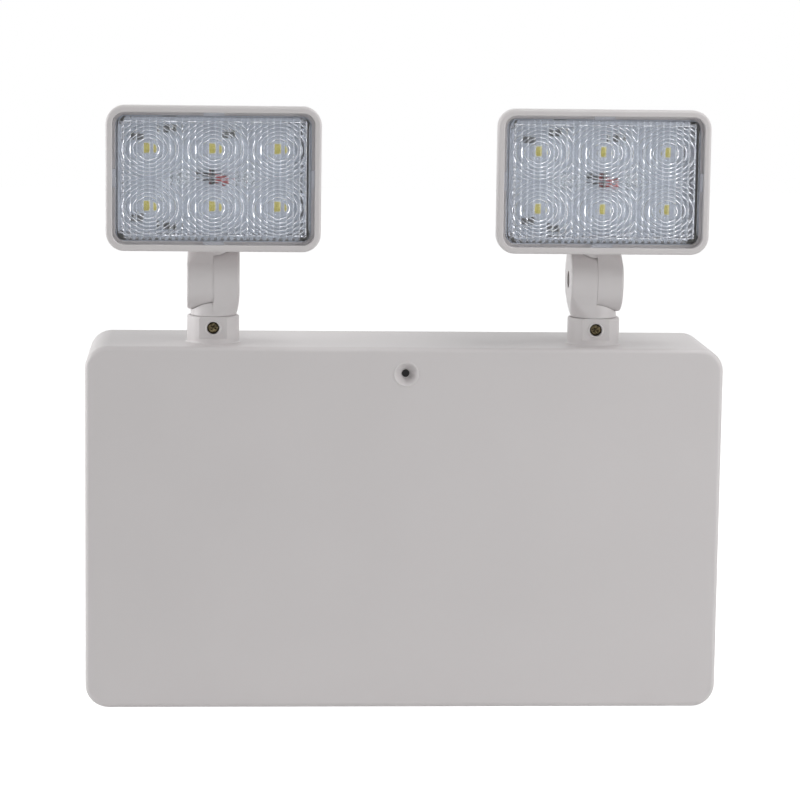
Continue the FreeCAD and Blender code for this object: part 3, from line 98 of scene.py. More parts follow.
# Grain over a surface: a bump of the given depth, and the same grain as a factor
def grained(tree, shader, place, size, depth, detail=3.0):
    noise = addNode(tree, "ShaderNodeTexNoise", {"Vector": place, "Scale": 1 / size, "Detail": detail})
    bump = addNode(tree, "ShaderNodeBump", {"Height": noise.outputs["Fac"], "Distance": depth})
    tree.links.new(bump.outputs["Normal"], shader.inputs["Normal"])
    return noise.outputs["Fac"]


# Satin ABS from a spark-eroded tool: a soft sheen over a fine even grain, white with faint flow clouds
absSpec = {"light": "#e4e0e0", "dark": "#dedada", "grain": 0.9 * mm, "depth": 0.006 * mm,
           "cloud": 60 * mm, "roughLow": 0.34, "roughHigh": 0.44, "ior": 1.53}


def satinAbs():
    material, tree, shader = newMaterial("satinAbs", IOR=absSpec["ior"])
    place = addNode(tree, "ShaderNodeTexCoord").outputs["Object"]
    fine = grained(tree, shader, place, absSpec["grain"], absSpec["depth"])
    cloud = addNode(tree, "ShaderNodeTexNoise",
                    {"Vector": place, "Scale": 1 / absSpec["cloud"], "Detail": 1.0})
    colour = addNode(tree, "ShaderNodeMix",
                     {mixFactor: cloud.outputs["Fac"], mixFirst: linear(absSpec["dark"]),
                      mixSecond: linear(absSpec["light"])}, data_type="RGBA")
    rough = addNode(tree, "ShaderNodeMapRange",
                    {"Value": fine, "From Min": noiseLow, "From Max": noiseHigh,
                     "To Min": absSpec["roughLow"], "To Max": absSpec["roughHigh"]})
    tree.links.new(colour.outputs[mixResult], shader.inputs["Base Color"])
    tree.links.new(rough.outputs["Result"], shader.inputs["Roughness"])
    return material


# Clear polycarbonate, polished: sharp glints and strong bending of what lies behind
pcSpec = {"tint": "#f6f9ff", "ripple": 6 * mm, "depth": 0.003 * mm, "rough": 0.03, "ior": 1.585}


def clearPolycarbonate():
    material, tree, shader = newMaterial("clearPolycarbonate", Base_Color=linear(pcSpec["tint"]),
                                         IOR=pcSpec["ior"], Roughness=pcSpec["rough"],
                                         Transmission_Weight=1.0)
    place = addNode(tree, "ShaderNodeTexCoord").outputs["Object"]
    grained(tree, shader, place, pcSpec["ripple"], pcSpec["depth"], detail=1.0)
    return material


# A solid colour that drifts between two tones over a fine grain, its gloss drifting with it
grainSpec = {"size": 1.2 * mm, "depth": 0.01 * mm, "roughDrift": 0.1}


def grainedFinish(name, dark, light, rough, size=grainSpec["size"], depth=grainSpec["depth"], **constants):
    material, tree, shader = newMaterial(name, **constants)
    place = addNode(tree, "ShaderNodeTexCoord").outputs["Object"]
    fine = grained(tree, shader, place, size, depth)
    level = addNode(tree, "ShaderNodeMapRange",
                    {"Value": fine, "From Min": noiseLow, "From Max": noiseHigh}).outputs["Result"]
    colour = addNode(tree, "ShaderNodeMix",
                     {mixFactor: level, mixFirst: linear(dark), mixSecond: linear(light)}, data_type="RGBA")
    gloss = addNode(tree, "ShaderNodeMapRange",
                    {"Value": level, "To Min": rough, "To Max": rough + grainSpec["roughDrift"]})
    tree.links.new(colour.outputs[mixResult], shader.inputs["Base Color"])
    tree.links.new(gloss.outputs["Result"], shader.inputs["Roughness"])
    return material


# One finish for each of the record's slots; metals keep the default IOR
finishes = {
    "white_plastic": satinAbs(),
    "clear_lens": clearPolycarbonate(),
    # Screened lacquer on the lamp's board: an even, faintly blue white with a soft gloss
    "led_board": grainedFinish("whiteSolderMask", "#b6bbc3", "#c7cbd1", 0.3, 1.5 * mm, IOR=1.5),
    # Silicone filled with phosphor: a dull lemon yellow
    "led_phosphor": grainedFinish("phosphorGel", "#c4b41c", "#dccb3a", 0.4, 0.5 * mm, IOR=1.41),
    # Glazed ceramic: near black, with a clear glint
    "resistor_black": grainedFinish("glazedChip", "#16171a", "#222428", 0.3, IOR=1.5),
    # Zinc plate on turned steel: a pale grey metal with a fine grain
    "screw_steel": grainedFinish("zincPlate", "#a9adb0", "#c2c5c7", 0.28, 0.6 * mm, 0.004 * mm, Metallic=1.0),
    # Blackened zinc plate: nearly black, with brassy brown blotches laid on at random as painted glints
    "dark_screw_steel": grainedFinish("blackZincPaintedGlints", "#0f0d0a", "#6a6049", 0.2, 1.1 * mm, 0.02 * mm,
                                      Metallic=1.0),
    # Nickel plate: a clean, slightly warm metal
    "plated_steel": grainedFinish("nickelPlate", "#b4b3ad", "#cfcec9", 0.25, 0.6 * mm, 0.004 * mm,
                                  Metallic=1.0),
    # Stamped and stacked sheet: a dull dark metal
    "core_steel": grainedFinish("siliconSteel", "#4a4c50", "#66686c", 0.4, 0.6 * mm, 0.004 * mm,
                                Metallic=1.0),
    # Wound polyester tape: amber, with a plain gloss
    "winding_tape": grainedFinish("polyesterTape", "#c9a520", "#dcba37", 0.3, IOR=1.57),
    # Screened lacquer over copper: a deep, even green with a soft gloss
    "circuit_board": grainedFinish("greenSolderMask", "#0c4a2a", "#125a35", 0.3, IOR=1.5),
    # Moulded nylon: near black and almost without sheen
    "black_plastic": grainedFinish("blackNylon", "#0b0b0c", "#141415", 0.5, IOR=1.53,
                                   Specular_IOR_Level=0.25),
    # Shrunk plastic sleeve: smooth navy blue
    "capacitor_can": grainedFinish("shrinkSleeve", "#13233f", "#1b2f52", 0.3, IOR=1.54),
    # Moulded nylon: a satin green, and the same undyed, a milky white
    "terminal_plastic": grainedFinish("greenNylon", "#1d6b4a", "#267a57", 0.4, IOR=1.53),
    "connector_plastic": grainedFinish("naturalNylon", "#dad8cc", "#e6e4da", 0.4, IOR=1.53),
    # Moulded ABS: charcoal with a low sheen
    "battery_case": grainedFinish("darkAbsCase", "#26282b", "#303236", 0.45, IOR=1.53),
    # Extruded PVC insulation: smooth and waxy, one colour for each wire
    "red_wire": grainedFinish("redPvc", "#a3141a", "#b81c22", 0.35, IOR=1.54),
    "black_wire": grainedFinish("blackPvc", "#0d0d0e", "#18181a", 0.35, IOR=1.54),
    "yellow_wire": grainedFinish("yellowPvc", "#c79a14", "#d9ad28", 0.35, IOR=1.54),
}
for solid in nodes.values():
    slotName = solid.material_slots[0].material.name.split(".")[0]
    solid.material_slots[0].material = finishes[slotName]
print("finishes:", len(finishes))


# Triangles of a grid of rows by columns; a closed grid joins its last column to its first
def gridFaces(rows, columns, closed=False):
    steps = columns if closed else columns - 1
    row, column = np.meshgrid(np.arange(rows - 1), np.arange(steps), indexing="ij")
    ahead = (column + 1) % columns
    a, b = row * columns + column, row * columns + ahead
    c, d = a + columns, b + columns
    return np.concatenate([np.stack([a, b, d], -1), np.stack([a, d, c], -1)]).reshape(-1, 3)


# A grid of points as one patch: its points and its triangles
def gridPatch(points, closed=True):
    return points.reshape(-1, 3), gridFaces(*points.shape[:2], closed)


# A fan from a closed ring of points to the one that follows them
def fanFaces(count):
    around = np.arange(count)
    return np.stack([around, np.roll(around, -1), np.full(count, count)], -1)


# Triangles between two closed loops of any counts, each vertex joined to the other loop's last one by angle
def zipFaces(innerTurn, outerTurn):
    inner, outer = np.argsort(innerTurn), np.argsort(outerTurn)
    innerSeen = inner[np.searchsorted(innerTurn[inner], outerTurn[outer], "right") - 1]
    outerSeen = outer[np.searchsorted(outerTurn[outer], innerTurn[inner], "left") - 1]
    first = np.stack([inner, np.roll(inner, 1), outerSeen + len(inner)], -1)
    second = np.stack([np.roll(outer, 1) + len(inner), outer + len(inner), innerSeen], -1)
    return np.concatenate([first, second])


weldGrid = 1e-4  # points in the same cell of this grid, in mm, are one


# Patches as one set of points and triangles: points that meet become one, flattened triangles go
def welded(patches):
    pointSets, faceSets = zip(*patches)
    starts = np.cumsum([0] + [len(points) for points in pointSets])
    points = np.concatenate(pointSets)
    faces = np.concatenate([faces + start for faces, start in zip(faceSets, starts)])
    cells = np.round(points / weldGrid).astype(np.int64)
    _, keep, same = np.unique(cells, axis=0, return_index=True, return_inverse=True)
    faces = same.reshape(-1)[faces]
    sound = (faces != np.roll(faces, 1, axis=1)).all(1)
    return points[keep], faces[sound]


# Points in millimetres and triangles as a mesh in metres
def triangleMesh(name, points, faces):
    mesh = bpy.data.meshes.new(name)
    mesh.vertices.add(len(points))
    mesh.vertices.foreach_set("co", (np.asarray(points) * mm).astype(np.float32).ravel())
    mesh.loops.add(faces.size)
    mesh.loops.foreach_set("vertex_index", faces.astype(np.int32).ravel())
    mesh.polygons.add(len(faces))
    mesh.polygons.foreach_set("loop_start", np.arange(0, faces.size, 3, dtype=np.int32))
    mesh.update(calc_edges=True)
    return mesh


# Triangles of one closed solid made to agree, then turned so that the volume they enclose is positive
def outward(points, faces):
    mesh = triangleMesh("draft", points, faces)
    shell = bmesh.new()
    shell.from_mesh(mesh)
    bmesh.ops.recalc_face_normals(shell, faces=shell.faces)
    shell.to_mesh(mesh)
    shell.free()
    corners = np.empty(len(mesh.loops), dtype=np.int32)
    mesh.loops.foreach_get("vertex_index", corners)
    bpy.data.meshes.remove(mesh)
    faces = corners.reshape(-1, 3)
    first, second, third = (points - points.mean(0))[faces.T]
    return faces if np.sum(first * np.cross(second, third)) > 0 else faces[:, ::-1]


# Closed solids in millimetres as one piece, smooth up to a crease, riding on a body
def addPiece(name, solids, slotName, body, creaseDegrees=35):
    pointSets = [points for points, faces in solids]
    starts = np.cumsum([0] + [len(points) for points in pointSets])
    faces = np.concatenate([outward(*solid) + start for solid, start in zip(solids, starts)])
    mesh = triangleMesh(name, np.concatenate(pointSets), faces)
    mesh.shade_smooth()
    mesh.set_sharp_from_angle(angle=math.radians(creaseDegrees))
    mesh.materials.append(finishes[slotName])
    piece = bpy.data.objects.new(name, mesh)
    bpy.context.scene.collection.objects.link(piece)
    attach(piece, body)
    return piece


# A closed rounded block: the directions of a sphere, each octant pushed out to its corner
def roundedBlock(centre, half, radius, steps=5):
    turn = np.concatenate([np.linspace(0, 90, steps) + 90 * quarter for quarter in range(4)])
    tilt = np.concatenate([np.linspace(-90, 0, steps), np.linspace(0, 90, steps)])
    signX, signY = np.repeat([1, -1, -1, 1], steps)[None, :], np.repeat([1, 1, -1, -1], steps)[None, :]
    signZ = np.repeat([-1, 1], steps)[:, None]
    turn, tilt = np.radians(turn)[None, :], np.radians(tilt)[:, None]
    core = np.asarray(half) - radius
    x = core[0] * signX + radius * np.cos(tilt) * np.cos(turn)
    y = core[1] * signY + radius * np.cos(tilt) * np.sin(turn)
    z = core[2] * signZ + radius * np.sin(tilt) + 0 * turn
    points = np.stack([x, y, z], -1)
    ends = [(np.vstack([ring, ring.mean(0)]), fanFaces(len(ring))) for ring in (points[0], points[-1])]
    points, faces = welded([gridPatch(points), *ends])
    return points + np.asarray(centre), faces


# A round-cornered loop in x and z: four quarter circles, and straights in steps of about the given length
def roundedLoop(halfX, halfZ, radius, step=1.5, arc=9):
    angle = np.linspace(0, math.pi / 2, arc)
    runs = []
    for quarter, (signX, signZ) in enumerate(((1, 1), (-1, 1), (-1, -1), (1, -1))):
        bend = angle + quarter * math.pi / 2
        runs.append(np.stack([signX * (halfX - radius) + radius * np.cos(bend),
                              signZ * (halfZ - radius) + radius * np.sin(bend)], -1))
    loop = []
    for run, following in zip(runs, runs[1:] + runs[:1]):
        straight = following[0] - run[-1]
        parts = max(2, int(np.linalg.norm(straight) / step) + 1)
        loop += [run, run[-1] + straight * np.linspace(0, 1, parts)[1:-1, None]]
    return np.concatenate(loop)


# A loop in x and z set at one depth, y
def raised(loop, depth):
    return np.stack([loop[:, 0], np.broadcast_to(depth, len(loop)), loop[:, 1]], -1)


# The flat band between a loop and a wider one round it, whatever their counts
def zipped(inner, outer):
    turns = [np.arctan2(loop[:, 2], loop[:, 0]) for loop in (inner, outer)]
    return np.concatenate([inner, outer]), zipFaces(*turns)


# The wall between two loops of the same count
def walled(first, second):
    return gridPatch(np.stack([first, second]))


# A node's lowest and highest corners in millimetres
def nodeBox(name):
    return [np.array(corner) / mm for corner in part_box(name)]


# Boxes of the separate solids in a node, in millimetres. Vertices within a hundredth count as one, and those
# joined by edges come to share the lowest label of their group
def solidBoxes(name, digits=2):
    mesh = nodes[name].data
    spots = np.empty(len(mesh.vertices) * 3, dtype=np.float32)
    mesh.vertices.foreach_get("co", spots)
    ends = np.empty(len(mesh.edges) * 2, dtype=np.int32)
    mesh.edges.foreach_get("vertices", ends)
    keys, same = np.unique(np.round(spots.reshape(-1, 3) / mm, digits), axis=0, return_inverse=True)
    first, second = same.reshape(-1)[ends].reshape(-1, 2).T
    label, settled = np.arange(len(keys)), False
    while not settled:
        lowest = label.copy()
        np.minimum.at(lowest, first, label[second])
        np.minimum.at(lowest, second, label[first])
        lowest = lowest[lowest]
        settled = np.array_equal(lowest, label)
        label = lowest
    return [(keys[label == group].min(0), keys[label == group].max(0)) for group in np.unique(label)]


# Lens: a plate with upright flutes in front, ring prisms round each LED behind, a skirt and four tabs.
# In mm and degrees; toothAcross and toothUp are shares of the pitch and of the rise, round at valley and peak
lensSpec = {
    "plate": 2.0, "skirt": 2.4, "corner": 4.0, "edge": 0.3, "border": 0.5, "creaseDegrees": 25,
    "flutePitch": 2.8, "fluteRise": 0.4, "fluteShift": -0.2, "fluteSteps": 10, "fluteRows": 25,
    "fluteClear": 0.05, "fadeLength": 1.0,
    "ledPitchX": 28.0, "ledPitchZ": 25.0, "eyeRadius": 3.2, "eyeRise": 0.45, "eyeSteps": 6,
    "ringPitch": 1.65, "slopeNear": 16.0, "slopeFar": 18.0, "slopeReach": 18.0, "ringMargin": 0.15,
    "toothAcross": (0.025, 0.085, 0.19, 0.45, 0.68, 0.79, 0.85, 0.895, 0.96),
    "toothUp": (0.055, 0.01, 0.06, 0.4, 0.75, 0.925, 0.975, 0.885, 0.38),
    "turns": 100, "turnDigits": 9, "cornerSteps": 9,
    "tabReach": 1.45, "tabWidth": 9.0, "sideTabWidth": 8.0, "tabFront": 0.4, "tabBack": 3.0,
    "tabRound": 0.2, "tabPlay": 0.02,
}
tiny = 1e-9  # stands in for zero where a ray runs along a side


# Fluted front: each flute is a parabola across x that fades to the border's level, and each column of points
# ends on the round-cornered outline
def flutedFront(halfX, halfZ, corner):
    lens = lensSpec
    reach = math.ceil(halfX / lens["flutePitch"] + 1) * lens["fluteSteps"]
    x = (np.arange(-reach, reach + 1) / lens["fluteSteps"] + lens["fluteShift"]) * lens["flutePitch"]
    x = np.concatenate([[-halfX], x[np.abs(x) < halfX - lens["fluteClear"]], [halfX]])[None, :]
    past = np.clip(np.abs(x) - halfX + corner, 0, corner)
    top = halfZ - corner + np.sqrt(corner ** 2 - past ** 2)
    z = top * np.sin(np.linspace(-math.pi / 2, math.pi / 2, lens["fluteRows"]))[:, None]
    across = x / lens["flutePitch"] - lens["fluteShift"] + 0.5
    crown = 1 - (2 * (across - np.floor(across)) - 1) ** 2
    fade = np.clip(np.minimum(halfX - np.abs(x), top - np.abs(z)) / lens["fadeLength"], 0, 1)
    depth = lens["fluteRise"] * (1 - crown * fade * (2 - fade))
    points = np.stack([x + 0 * z, depth, z], -1)
    rim = np.concatenate([points[0], points[1:, -1], points[-1, -2::-1], points[-2:0:-1, 0]])
    return gridPatch(points, closed=False), rim


# Ring profile: a domed eye, then teeth that rise outward, a little steeper with radius
def ringProfile(reach):
    lens = lensSpec
    eyeRadius, pitch = lens["eyeRadius"], lens["ringPitch"]
    start = eyeRadius + pitch * np.arange(math.ceil((reach - eyeRadius) / pitch))[:, None]
    slope = lens["slopeNear"] + (lens["slopeFar"] - lens["slopeNear"]) * start / lens["slopeReach"]
    rise = np.tan(np.radians(slope)) * pitch
    radius = start + pitch * np.array(lens["toothAcross"])[None, :]
    height = rise * np.array(lens["toothUp"])[None, :]
    across = np.linspace(0, 1, lens["eyeSteps"])
    eye = lens["eyeRise"] * (1 - across ** 2)
    return np.concatenate([eyeRadius * across, radius.ravel()]), np.concatenate([eye, height.ravel()])


# One cell: the profile turned about its LED, each ray cut off at the cell's sides, or at the field's round
# corner where the cell has one
def ringCell(column, row, halfX, halfZ, corner):
    lens = lensSpec
    outX, outZ = column, 2 * row
    centre = np.array([column * lens["ledPitchX"], row * lens["ledPitchZ"]])
    sideX = [-halfX if column < 0 else (column - 0.5) * lens["ledPitchX"],
             halfX if column > 0 else (column + 0.5) * lens["ledPitchX"]] - centre[0]
    sideZ = [min(0, outZ * halfZ), max(0, outZ * halfZ)] - centre[1]
    hub = np.array([outX * (halfX - corner), outZ * (halfZ - corner)]) - centre
    bend = np.linspace(0, math.pi / 2, lens["cornerSteps"])
    arc = np.stack([outX * np.cos(bend), outZ * np.sin(bend)]) * corner + hub[:, None]
    turn = np.concatenate([np.linspace(-math.pi, math.pi, lens["turns"] + 1)[1:], np.arctan2(arc[1], arc[0]),
                           np.arctan2(np.repeat(sideZ, 2), np.tile(sideX, 2))])
    turn = np.unique(np.round(turn, lens["turnDigits"]))
    ray = np.stack([np.cos(turn), np.sin(turn)])
    ray = np.where(np.abs(ray) < tiny, tiny, ray)
    toX = np.where(ray[0] > 0, *sideX[::-1]) / ray[0]
    toZ = np.where(ray[1] > 0, *sideZ[::-1]) / ray[1]
    reach = np.minimum(toX, toZ)
    along = hub @ ray
    toArc = along + np.sqrt(np.maximum(along ** 2 - hub @ hub + corner ** 2, 0))
    pastHub = (reach * ray - hub[:, None]) * [[outX], [outZ]]
    reach = np.where((pastHub > 0).all(0), toArc, reach)
    radius, height = ringProfile(reach.max())
    cut = np.minimum(np.append(radius, reach.max() + 1)[:, None], reach[None, :])
    depth = lens["plate"] + np.interp(cut, radius, height)
    return np.stack([centre[0] + cut * ray[0], depth, centre[1] + cut * ray[1]], -1)


# The back's six cells, and the points of their outer rim: those on the field's sides or in its round corners
def ringBack(halfX, halfZ, corner):
    cells = [ringCell(column, row, halfX, halfZ, corner) for column in (-1, 0, 1) for row in (-0.5, 0.5)]
    rim = np.concatenate([points[-1] for points in cells])
    past = np.abs(rim[:, [0, 2]]) - [halfX, halfZ]
    rim = rim[(past > -weldGrid).any(1) | (past > -corner).all(1)]
    _, first = np.unique(np.round(rim / weldGrid).astype(np.int64), axis=0, return_index=True)
    return [gridPatch(points) for points in cells], rim[first]


# The lens: front, eased edge, outer wall, the skirt's foot and inner wall, and the rings, closed loop by loop
def prismLens(side):
    lens = lensSpec
    low, high = nodeBox("lens_" + side)
    halfX, halfZ = (high - low)[[0, 2]] / 2 - lens["tabReach"]
    foot = high[1] - low[1]
    level, shoulder = lens["fluteRise"], lens["fluteRise"] + lens["edge"]
    outline = np.array([halfX, halfZ, lens["corner"]])
    outer = roundedLoop(*outline)
    eased = raised(roundedLoop(*(outline - lens["edge"])), level)
    inner = roundedLoop(*(outline - lens["skirt"]))
    front, frontRim = flutedFront(*(outline - lens["border"]))
    rings, ringRim = ringBack(*(outline - lens["skirt"] - lens["ringMargin"]))
    plate = welded([front, *rings,
                    zipped(frontRim, eased),
                    zipped(eased, raised(outer, shoulder)),
                    walled(raised(outer, shoulder), raised(outer, foot)),
                    zipped(raised(inner, foot), raised(outer, foot)),
                    walled(raised(inner, foot), raised(inner, lens["plate"])),
                    zipped(ringRim, raised(inner, lens["plate"]))])
    tabHalf, tabDepth = (lens["tabBack"] - lens["tabFront"]) / 2, (lens["tabBack"] + lens["tabFront"]) / 2
    reach = (lens["tabReach"] - lens["tabPlay"]) / 2
    awayX, awayZ = halfX + lens["tabPlay"] + reach, halfZ + lens["tabPlay"] + reach
    solids = [plate]
    for sign in (-1, 1):
        solids.append(roundedBlock((0, tabDepth, sign * awayZ), (lens["tabWidth"] / 2, tabHalf, reach),
                                   lens["tabRound"]))
        solids.append(roundedBlock((sign * awayX, tabDepth, 0), (reach, tabHalf, lens["sideTabWidth"] / 2),
                                   lens["tabRound"]))
    middle = np.array([(low[0] + high[0]) / 2, low[1], (low[2] + high[2]) / 2])
    solids = [(points + middle, faces) for points, faces in solids]
    piece = addPiece("prismLens_" + side, solids, "clear_lens", "head_" + side, lens["creaseDegrees"])
    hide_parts("lens_" + side)
    return len(piece.data.polygons)


print("lenses:", [prismLens(side) for side in sides], "triangles")


# Cross-recess screws in mm: a head of no height is countersunk; turns are the cross's degrees on each screw
screwSpec = {
    "lock_screws": {"shank": 1.5, "head": 1.7, "dome": 0.8, "pitch": 0.5, "faces": (0, -1, 0),
                    "turns": (25, 40), "slot": "dark_screw_steel", "body": "box"},
    "cover_screws": {"shank": 1.5, "head": 0.0, "dome": 0.05, "pitch": 0.9, "faces": (0, 0, -1),
                     "turns": (10, 60), "slot": "screw_steel", "body": "box"},
    "pivot_screw_left": {"shank": 2.0, "head": 2.3, "dome": 0.9, "pitch": 0.7, "faces": (1, 0, 0),
                         "turns": (15,), "slot": "dark_screw_steel", "body": "head_left"},
    "pivot_screw_right": {"shank": 2.0, "head": 2.3, "dome": 0.9, "pitch": 0.7, "faces": (-1, 0, 0),
                          "turns": (70,), "slot": "dark_screw_steel", "body": "head_right"},
    "led_board_screws_left": {"shank": 1.25, "head": 1.5, "dome": 0.6, "pitch": 0.8, "faces": (0, -1, 0),
                              "turns": (5, 50), "slot": "screw_steel", "body": "head_left"},
    "led_board_screws_right": {"shank": 1.25, "head": 1.5, "dome": 0.6, "pitch": 0.8, "faces": (0, -1, 0),
                               "turns": (30, 75), "slot": "screw_steel", "body": "head_right"},
}
# The cross in shares of the head's radius, the thread's depth of its pitch, the tip's radius of the shank's
crossSpec = {"arm": 0.68, "width": 0.27, "runOut": 0.2, "depth": 0.2, "threadDepth": 0.12, "tipLift": 0.3,
             "tipShare": 0.6, "rowsPerTurn": 6, "around": 64, "rings": 18, "creaseDegrees": 30}


# One screw, head up: a profile turned about z, the shank's radius dipping along a helix, the head's top a
# quarter ellipse sunk by V-shaped arms that run out before its edge
def crossScrew(screw, headRadius, length, turn):
    cross = crossSpec
    shank, head, dome, pitch = (screw[key] for key in ("shank", "head", "dome", "pitch"))
    countersunk = head == 0
    threadTop = shank - headRadius if countersunk else 0
    thread = np.linspace(cross["tipLift"] - length, threadTop, int(length / pitch * cross["rowsPerTurn"]))
    share = np.cos(np.linspace(0, math.pi / 2, cross["rings"]))
    tip, edge = [0, cross["tipShare"] * shank], [headRadius, headRadius]
    radius = np.concatenate([tip, np.full(len(thread), shank), edge, headRadius * share])[:, None]
    height = np.concatenate([[-length, -length], thread, [0, 0 if countersunk else head - dome],
                             head - dome + dome * np.sqrt(1 - share ** 2)])[:, None]
    angle = np.radians(np.arange(cross["around"]) * 360 / cross["around"])[None, :]
    turned = angle + math.radians(turn)
    threaded = np.zeros_like(radius)
    threaded[len(tip):len(tip) + len(thread) - 1] = cross["threadDepth"] * pitch
    radius = radius - threaded * (0.5 - 0.5 * np.cos(2 * math.pi * height / pitch - turned))
    u, v = np.abs(radius * np.cos(turned)) / headRadius, np.abs(radius * np.sin(turned)) / headRadius
    arms = []
    for along, across in ((u, v), (v, u)):
        section = np.clip(1 - across / cross["width"], 0, 1)
        arms.append(section * np.clip((cross["arm"] - along) / cross["runOut"], 0, 1))
    onHead = np.zeros_like(radius[:, :1])
    onHead[-cross["rings"]:] = cross["depth"] * headRadius
    z = height - np.maximum(*arms) * onHead
    return welded([gridPatch(np.stack([radius * np.cos(angle), radius * np.sin(angle), z], -1))])


# Screws in place of a node's solids, each with its head at the end that the spec says it faces
def addScrews(name):
    screw = screwSpec[name]
    facing = np.array(screw["faces"], dtype=float)
    axis = int(np.argmax(np.abs(facing)))
    side = np.roll(facing, 1)
    axes = np.stack([side, np.cross(facing, side), facing])
    solids = []
    for (low, high), turn in zip(solidBoxes(name), screw["turns"]):
        size = high - low
        points, faces = crossScrew(screw, size[axis - 1] / 2, size[axis] - screw["head"], turn)
        top = (low + high) / 2 + facing * size / 2
        solids.append((top + (points - [0, 0, screw["head"]]) @ axes, faces))
    piece = addPiece("cross_" + name, solids, screw["slot"], screw["body"], crossSpec["creaseDegrees"])
    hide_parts(name)


for name in screwSpec:
    addScrews(name)
print("screws:", len(screwSpec), "sets")


# Beads round the lock holes and the dish, in mm, with the depth of a lock screw's head in its hole
beadSpec = {"lock": {"inner": 2.7, "width": 0.9, "rise": 0.4, "sink": 0.5},
            "dish": {"inner": 4.75, "width": 0.8, "rise": 0.3, "sink": 0.6},
            "headDepth": 0.2, "around": 96, "steps": 13}


# A bead: half an ellipse carried round a circle, its back sunk in the face
def ringBead(centre, inner, width, rise, sink):
    turn = np.radians(np.arange(beadSpec["around"]) * 360 / beadSpec["around"])[None, :]
    bend = np.linspace(0, math.pi, beadSpec["steps"])
    reach = np.concatenate([[0], 0.5 - 0.5 * np.cos(bend), [1]])[:, None] * width + inner
    out = np.concatenate([[-sink], rise * np.sin(bend), [-sink]])[:, None]
    points = centre + np.stack([reach * np.cos(turn), -out + 0 * turn, reach * np.sin(turn)], -1)
    return welded([gridPatch(np.concatenate([points, points[:1]]))])


# Two beads on the pads' faces, just in front of the lock screws, and one on the cover round the test button
def addBeads():
    solids = []
    for low, high in solidBoxes("lock_screws"):
        centre = (low + high) / 2
        centre[1] = low[1] - beadSpec["headDepth"]
        solids.append(ringBead(centre, **beadSpec["lock"]))
    low, high = nodeBox("test_button")
    centre = (low + high) / 2
    centre[1] = nodeBox("front_cover")[0][1]
    solids.append(ringBead(centre, **beadSpec["dish"]))
    addPiece("rimBeads", solids, "white_plastic", "box")


addBeads()
print("beads set")


# LED packages in mm: a white case, and a window of phosphor as a share of the case's width
ledSpec = {"caseHeight": 0.6, "caseRound": 0.12, "window": 0.92, "power": 5.0, "sink": 0.1,
           "around": 64, "steps": 8}


# A window: its outline a superellipse, its section a quarter ellipse from the rim to the top
def phosphorWindow(low, high):
    led = ledSpec
    middle, half = (low + high) / 2, (high - low) / 2
    around = np.radians(np.arange(led["around"]) * 360 / led["around"])[None, :]
    bend = np.linspace(0, math.pi / 2, led["steps"])
    share = np.concatenate([[0, 1], np.cos(bend)])[:, None]
    rise = np.concatenate([[0, 0], np.sin(bend)])[:, None]
    powers = np.abs(np.cos(around)) ** led["power"] + np.abs(np.sin(around)) ** led["power"]
    radius = half[0] * led["window"] * powers ** (-1 / led["power"]) * share
    base = high[1] - led["caseHeight"] + led["sink"]
    y = base + (low[1] - base) * rise + 0 * around
    points = np.stack([middle[0] + radius * np.cos(around), y, middle[2] + radius * np.sin(around)], -1)
    return welded([gridPatch(points)])


# Cases and windows of one board's LEDs, as two pieces
def addLeds(side):
    led = ledSpec
    boxes = solidBoxes("leds_" + side)
    cases = []
    for low, high in boxes:
        middle, half = (low + high) / 2, (high - low) / 2
        middle[1], half[1] = high[1] - led["caseHeight"] / 2, led["caseHeight"] / 2
        cases.append(roundedBlock(middle, half, led["caseRound"]))
    addPiece("ledCases_" + side, cases, "connector_plastic", "head_" + side)
    windows = [phosphorWindow(*box) for box in boxes]
    piece = addPiece("ledWindows_" + side, windows, "led_phosphor", "head_" + side)
    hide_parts("leds_" + side)


# Chip resistors in mm: a glazed body, a little lower and narrower, between two plated ends
chipSpec = {"end": 0.5, "endRise": 0.04, "bodyDrop": 0.06, "round": 0.1}


def addChips(side):
    chip = chipSpec
    drop = np.array([0, chip["bodyDrop"] / 2, 0])
    chips, ends = [], []
    for low, high in solidBoxes("led_resistors_" + side):
        middle, half = (low + high) / 2, (high - low) / 2
        bodyHalf = half - [chip["end"] / 2, chip["bodyDrop"] / 2, chip["endRise"]]
        chips.append(roundedBlock(middle + drop, bodyHalf, chip["round"]))
        for sign in (-1, 1):
            place = middle + [sign * (half[0] - chip["end"] / 2), 0, 0]
            ends.append(roundedBlock(place, (chip["end"] / 2, half[1], half[2]), chip["round"]))
    piece = addPiece("chipBodies_" + side, chips, "resistor_black", "head_" + side)
    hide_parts("led_resistors_" + side)
    addPiece("chipEnds_" + side, ends, "plated_steel", "head_" + side)


# Board frame in mm: a flat white rim closing the gap round each LED board, a rectangle carried round the
# board's outline
boardFrameSpec = {"margin": 1.5, "overlap": 0.35, "corner": 5.2, "thickness": 0.8}


def addBoardFrame(side):
    rim = boardFrameSpec
    low, high = nodeBox("led_board_" + side)
    half = (high - low)[[0, 2]] / 2
    outer = roundedLoop(*(half + rim["margin"]), rim["corner"])
    inner = roundedLoop(*(half - rim["overlap"]), rim["corner"])
    front, back = -rim["thickness"], 0
    points, faces = welded([zipped(raised(inner, front), raised(outer, front)),
                            walled(raised(outer, front), raised(outer, back)),
                            zipped(raised(inner, back), raised(outer, back)),
                            walled(raised(inner, front), raised(inner, back))])
    onBoard = np.array([(low[0] + high[0]) / 2, low[1], (low[2] + high[2]) / 2])
    addPiece("boardFrame_" + side, [(points + onBoard, faces)], "led_board", "head_" + side)


for side in sides:
    addLeds(side)
    addChips(side)
    addBoardFrame(side)
print("LEDs, chips and board frames set")


